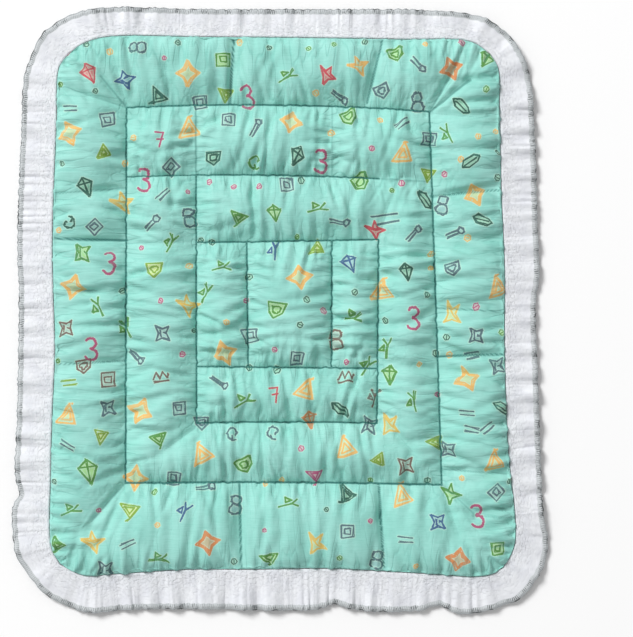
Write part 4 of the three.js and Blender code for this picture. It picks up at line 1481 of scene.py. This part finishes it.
# %% The printed cotton
def printed_cotton():
    material, tree, shader = matt_material("printed_cotton", 0.86, 0.15)
    sheet = attribute(tree, "sheet").outputs["Vector"]
    parts = node(tree, "ShaderNodeSeparateXYZ", {0: sheet})
    place = node(tree, "ShaderNodeCombineXYZ", {0: parts.outputs[0], 1: parts.outputs[1]}).outputs[0]
    patches = node(tree, "ShaderNodeTexNoise", {"Vector": place, "Scale": 0.018, "Detail": 2.0}).outputs[0]
    ground = mixed(tree, ranged(tree, patches, 0.35, 0.65), shade((150, 214, 203)), shade((160, 220, 210)))
    stretched = vector_node(tree, "MULTIPLY", place, (0.05, 1.1, 1))
    slub = node(tree, "ShaderNodeTexNoise", {"Vector": stretched, "Scale": 1.0, "Detail": 2.0}).outputs[0]
    ground = mixed(tree, ranged(tree, slub, 0.4, 0.75, 0.0, 0.45), ground, shade((130, 198, 184)))
    fill = attribute(tree, "filling")
    kept = math_node(tree, "SUBTRACT", 1.0, fill.outputs["Alpha"])
    base = node(tree, "ShaderNodeVectorMath", {0: ground, "Scale": kept}, operation="SCALE").outputs[0]
    filled = vector_node(tree, "ADD", base, fill.outputs["Color"])
    strokes = [attribute(tree, f"stroke_{i}") for i in (1, 2, 3)]
    away = [grouped(tree, STROKE, {"Place": place, "Stroke": s.outputs["Color"],
                                   "Last Part": s.outputs["Alpha"]})[0] for s in strokes]
    away = math_node(tree, "MINIMUM", math_node(tree, "MINIMUM", away[0], away[1]), away[2])
    dry = node(tree, "ShaderNodeTexNoise", {"Vector": place, "Scale": 0.9, "Detail": 2.0}).outputs[0]
    ink = attribute(tree, "ink")
    width = math_node(tree, "MULTIPLY", ink.outputs["Alpha"], ranged(tree, dry, 0.3, 0.7, 0.72, 1.2))
    edge_of_ink = math_node(tree, "SUBTRACT", away, width)
    mask = ranged(tree, edge_of_ink, -0.22, 0.28, 0.94, 0.0)
    halo = ranged(tree, edge_of_ink, 0.4, 1.8, 0.4, 0.0)
    lightened = mixed(tree, halo, filled, shade((206, 236, 214)))
    inked = mixed(tree, mask, lightened, ink.outputs["Color"])
    on_back = ranged(tree, parts.outputs[2], 0.45, 0.55)
    gather = node(tree, "ShaderNodeSeparateXYZ", {0: attribute(tree, "gather").outputs["Vector"]}).outputs
    gathers = grouped(tree, GATHERS, {"Place": place, "Across": gather[0]})
    # Painted shade: the colour goes darker teal in the finest gather creases, most near a seam, where shade
    # falls
    painted_crease_shade = math_node(tree, "MULTIPLY", gathers[1], math_node(tree, "MULTIPLY", gather[1], 0.3))
    inked = mixed(tree, painted_crease_shade, inked, shade((92, 172, 160)))
    # Painted shade: the groove mask darkens the printed cloth to deep teal along the sewn lines and creases,
    # and the white back to grey along its quilting lines
    deep = ranged(tree, attribute(tree, "groove").outputs["Fac"], 0.3, 0.8, 0.0, 0.9)
    shaded = mixed(tree, deep, inked, shade((32, 104, 98)))
    back = mixed(tree, deep, shade((236, 238, 240)), shade((178, 184, 188)))
    tree.links.new(mixed(tree, on_back, shaded, back), shader.inputs["Base Color"])
    crumple = grouped(tree, CRUMPLE, {"Place": place, "Size": 16.0, "Sharpness": 0.45})[0]
    first = bump(tree, shader, crumple, 0.0012, 0.4)
    rise = math_node(tree, "MULTIPLY", gathers[0], math_node(tree, "ADD", 0.15, gather[1]))
    second = bump(tree, shader, rise, 0.0011, 0.42, first)
    weave = grouped(tree, WEAVE, {"Place": place, "Thread Pitch": 0.55})[0]
    bump(tree, shader, weave, 0.00012, 0.5, second)
    return material


# %% The ruffle's cotton
def ruffle_cotton():
    material, tree, shader = matt_material("ruffle_cotton", 0.9, 0.1)
    sheet = attribute(tree, "sheet").outputs["Vector"]
    parts = node(tree, "ShaderNodeSeparateXYZ", {0: sheet})
    place = node(tree, "ShaderNodeCombineXYZ", {0: parts.outputs[0], 1: parts.outputs[1]}).outputs[0]
    patches = node(tree, "ShaderNodeTexNoise", {"Vector": place, "Scale": 0.05, "Detail": 3.0}).outputs[0]
    white = mixed(tree, ranged(tree, patches, 0.35, 0.7), shade((234, 236, 240)), shade((224, 226, 232)))
    hem = ranged(tree, parts.outputs[2], 0.9, 1.05, 1.0, 0.0)
    tree.links.new(mixed(tree, hem, white, shade((204, 208, 210))), shader.inputs["Base Color"])
    pucker = vector_node(tree, "MULTIPLY", place, (0.55, 1.0, 1.0))
    crumple = grouped(tree, CRUMPLE, {"Place": pucker, "Size": 2.8, "Sharpness": 0.3})[0]
    near_seam = ranged(tree, parts.outputs[1], 6.0, 34.0, 1.0, 0.35, False)
    first = bump(tree, shader, math_node(tree, "MULTIPLY", crumple, near_seam), 0.0026, 0.9)
    weave = grouped(tree, WEAVE, {"Place": place, "Thread Pitch": 0.6})[0]
    bump(tree, shader, weave, 0.00012, 0.5, first)
    return material


# %% The threads
def thread_finish(name, dark, light, spread):
    """A thread whose colour changes in clusters about as long as the spread, in metres."""
    _, tree, shader = matt_material(name, 0.7, 0.2)
    place = node(tree, "ShaderNodeTexCoord").outputs["Object"]
    clusters = node(tree, "ShaderNodeTexNoise", {"Vector": place, "Scale": 1 / spread, "Detail": 2.0})
    colour = mixed(tree, ranged(tree, clusters.outputs[0], 0.36, 0.5), shade(dark), shade(light))
    tree.links.new(colour, shader.inputs["Base Color"])
    ply = node(tree, "ShaderNodeTexNoise", {"Vector": place, "Scale": 2500.0, "Detail": 1.0}).outputs[0]
    bump(tree, shader, ply, 0.0001, 0.6)


thread_finish("quilting_thread", (44, 112, 106), (88, 158, 148), 0.03)
thread_finish("overlock_thread", (104, 110, 112), (196, 201, 203), 0.01)
thread_finish("edge_loop_thread", (58, 64, 66), (172, 178, 180), 0.01)
for cloth, finish in ((pad, printed_cotton()), (ruffle, ruffle_cotton())):
    cloth.data.materials.clear()
    cloth.data.materials.append(finish)
print("materials:", [material.name for material in bpy.data.materials if material.users])

# %% [markdown]
# ## Floor, light and camera
#
# The photograph looks straight down on a white surface, in even light with the brighter side at the upper
# left. A large soft lamp there and a pale sky give the same short, soft shadows. A long lens well above
# keeps the outline nearly free of perspective.

# %% Stage
floor_mesh = bpy.data.meshes.new("floor")
floor_mesh.from_pydata([(-9, -9, 0), (9, -9, 0), (9, 9, 0), (-9, 9, 0)], [], [(0, 1, 2, 3)])
floor = bpy.data.objects.new("floor", floor_mesh)
scene.collection.objects.link(floor)
floor_material, _, floor_shader = matt_material("pale_floor", 0.9, 0.0)
floor_shader.inputs["Base Color"].default_value = (0.96, 0.96, 0.96, 1)
floor_mesh.materials.append(floor_material)

LAMP_WAY = Vector((-1.0, 1.0, 1.3)).normalized()
LAMP_AWAY = 16.0  # metres
lamp_data = bpy.data.lights.new("soft_key", "AREA")
lamp_data.shape = "DISK"
lamp_data.size = 6.4
lamp_data.energy = 2280
lamp = bpy.data.objects.new("soft_key", lamp_data)
lamp.location = LAMP_WAY * LAMP_AWAY
lamp.rotation_euler = LAMP_WAY.to_track_quat("Z", "Y").to_euler()
scene.collection.objects.link(lamp)

world = bpy.data.worlds.new("pale_sky")
scene.world = world
world.use_nodes = True
world.node_tree.nodes["Background"].inputs["Color"].default_value = (1, 1, 1, 1)
world.node_tree.nodes["Background"].inputs["Strength"].default_value = 0.45

CAMERA_HEIGHT = 2.6  # metres
VIEW_MIDDLE = (0.0440, -0.0094)  # the photograph's middle, on the floor
FIELD = 0.7644  # metres across the photograph's longer side
SENSOR = 36  # mm
camera_data = bpy.data.cameras.new("camera")
camera_data.sensor_width = SENSOR
camera_data.lens = SENSOR * CAMERA_HEIGHT / FIELD
camera = bpy.data.objects.new("camera", camera_data)
camera.location = (*VIEW_MIDDLE, CAMERA_HEIGHT)
scene.collection.objects.link(camera)
scene.camera = camera

# %% [markdown]
# ## Attach the pieces
#
# Each piece stands in for its plain solid, or rides with it.

# %% Finish
for piece in (pad, ruffle, quilting, hem_stitches, edge_thread):
    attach(piece, "root")
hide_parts("quilted_pad")
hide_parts("gathered_ruffle")
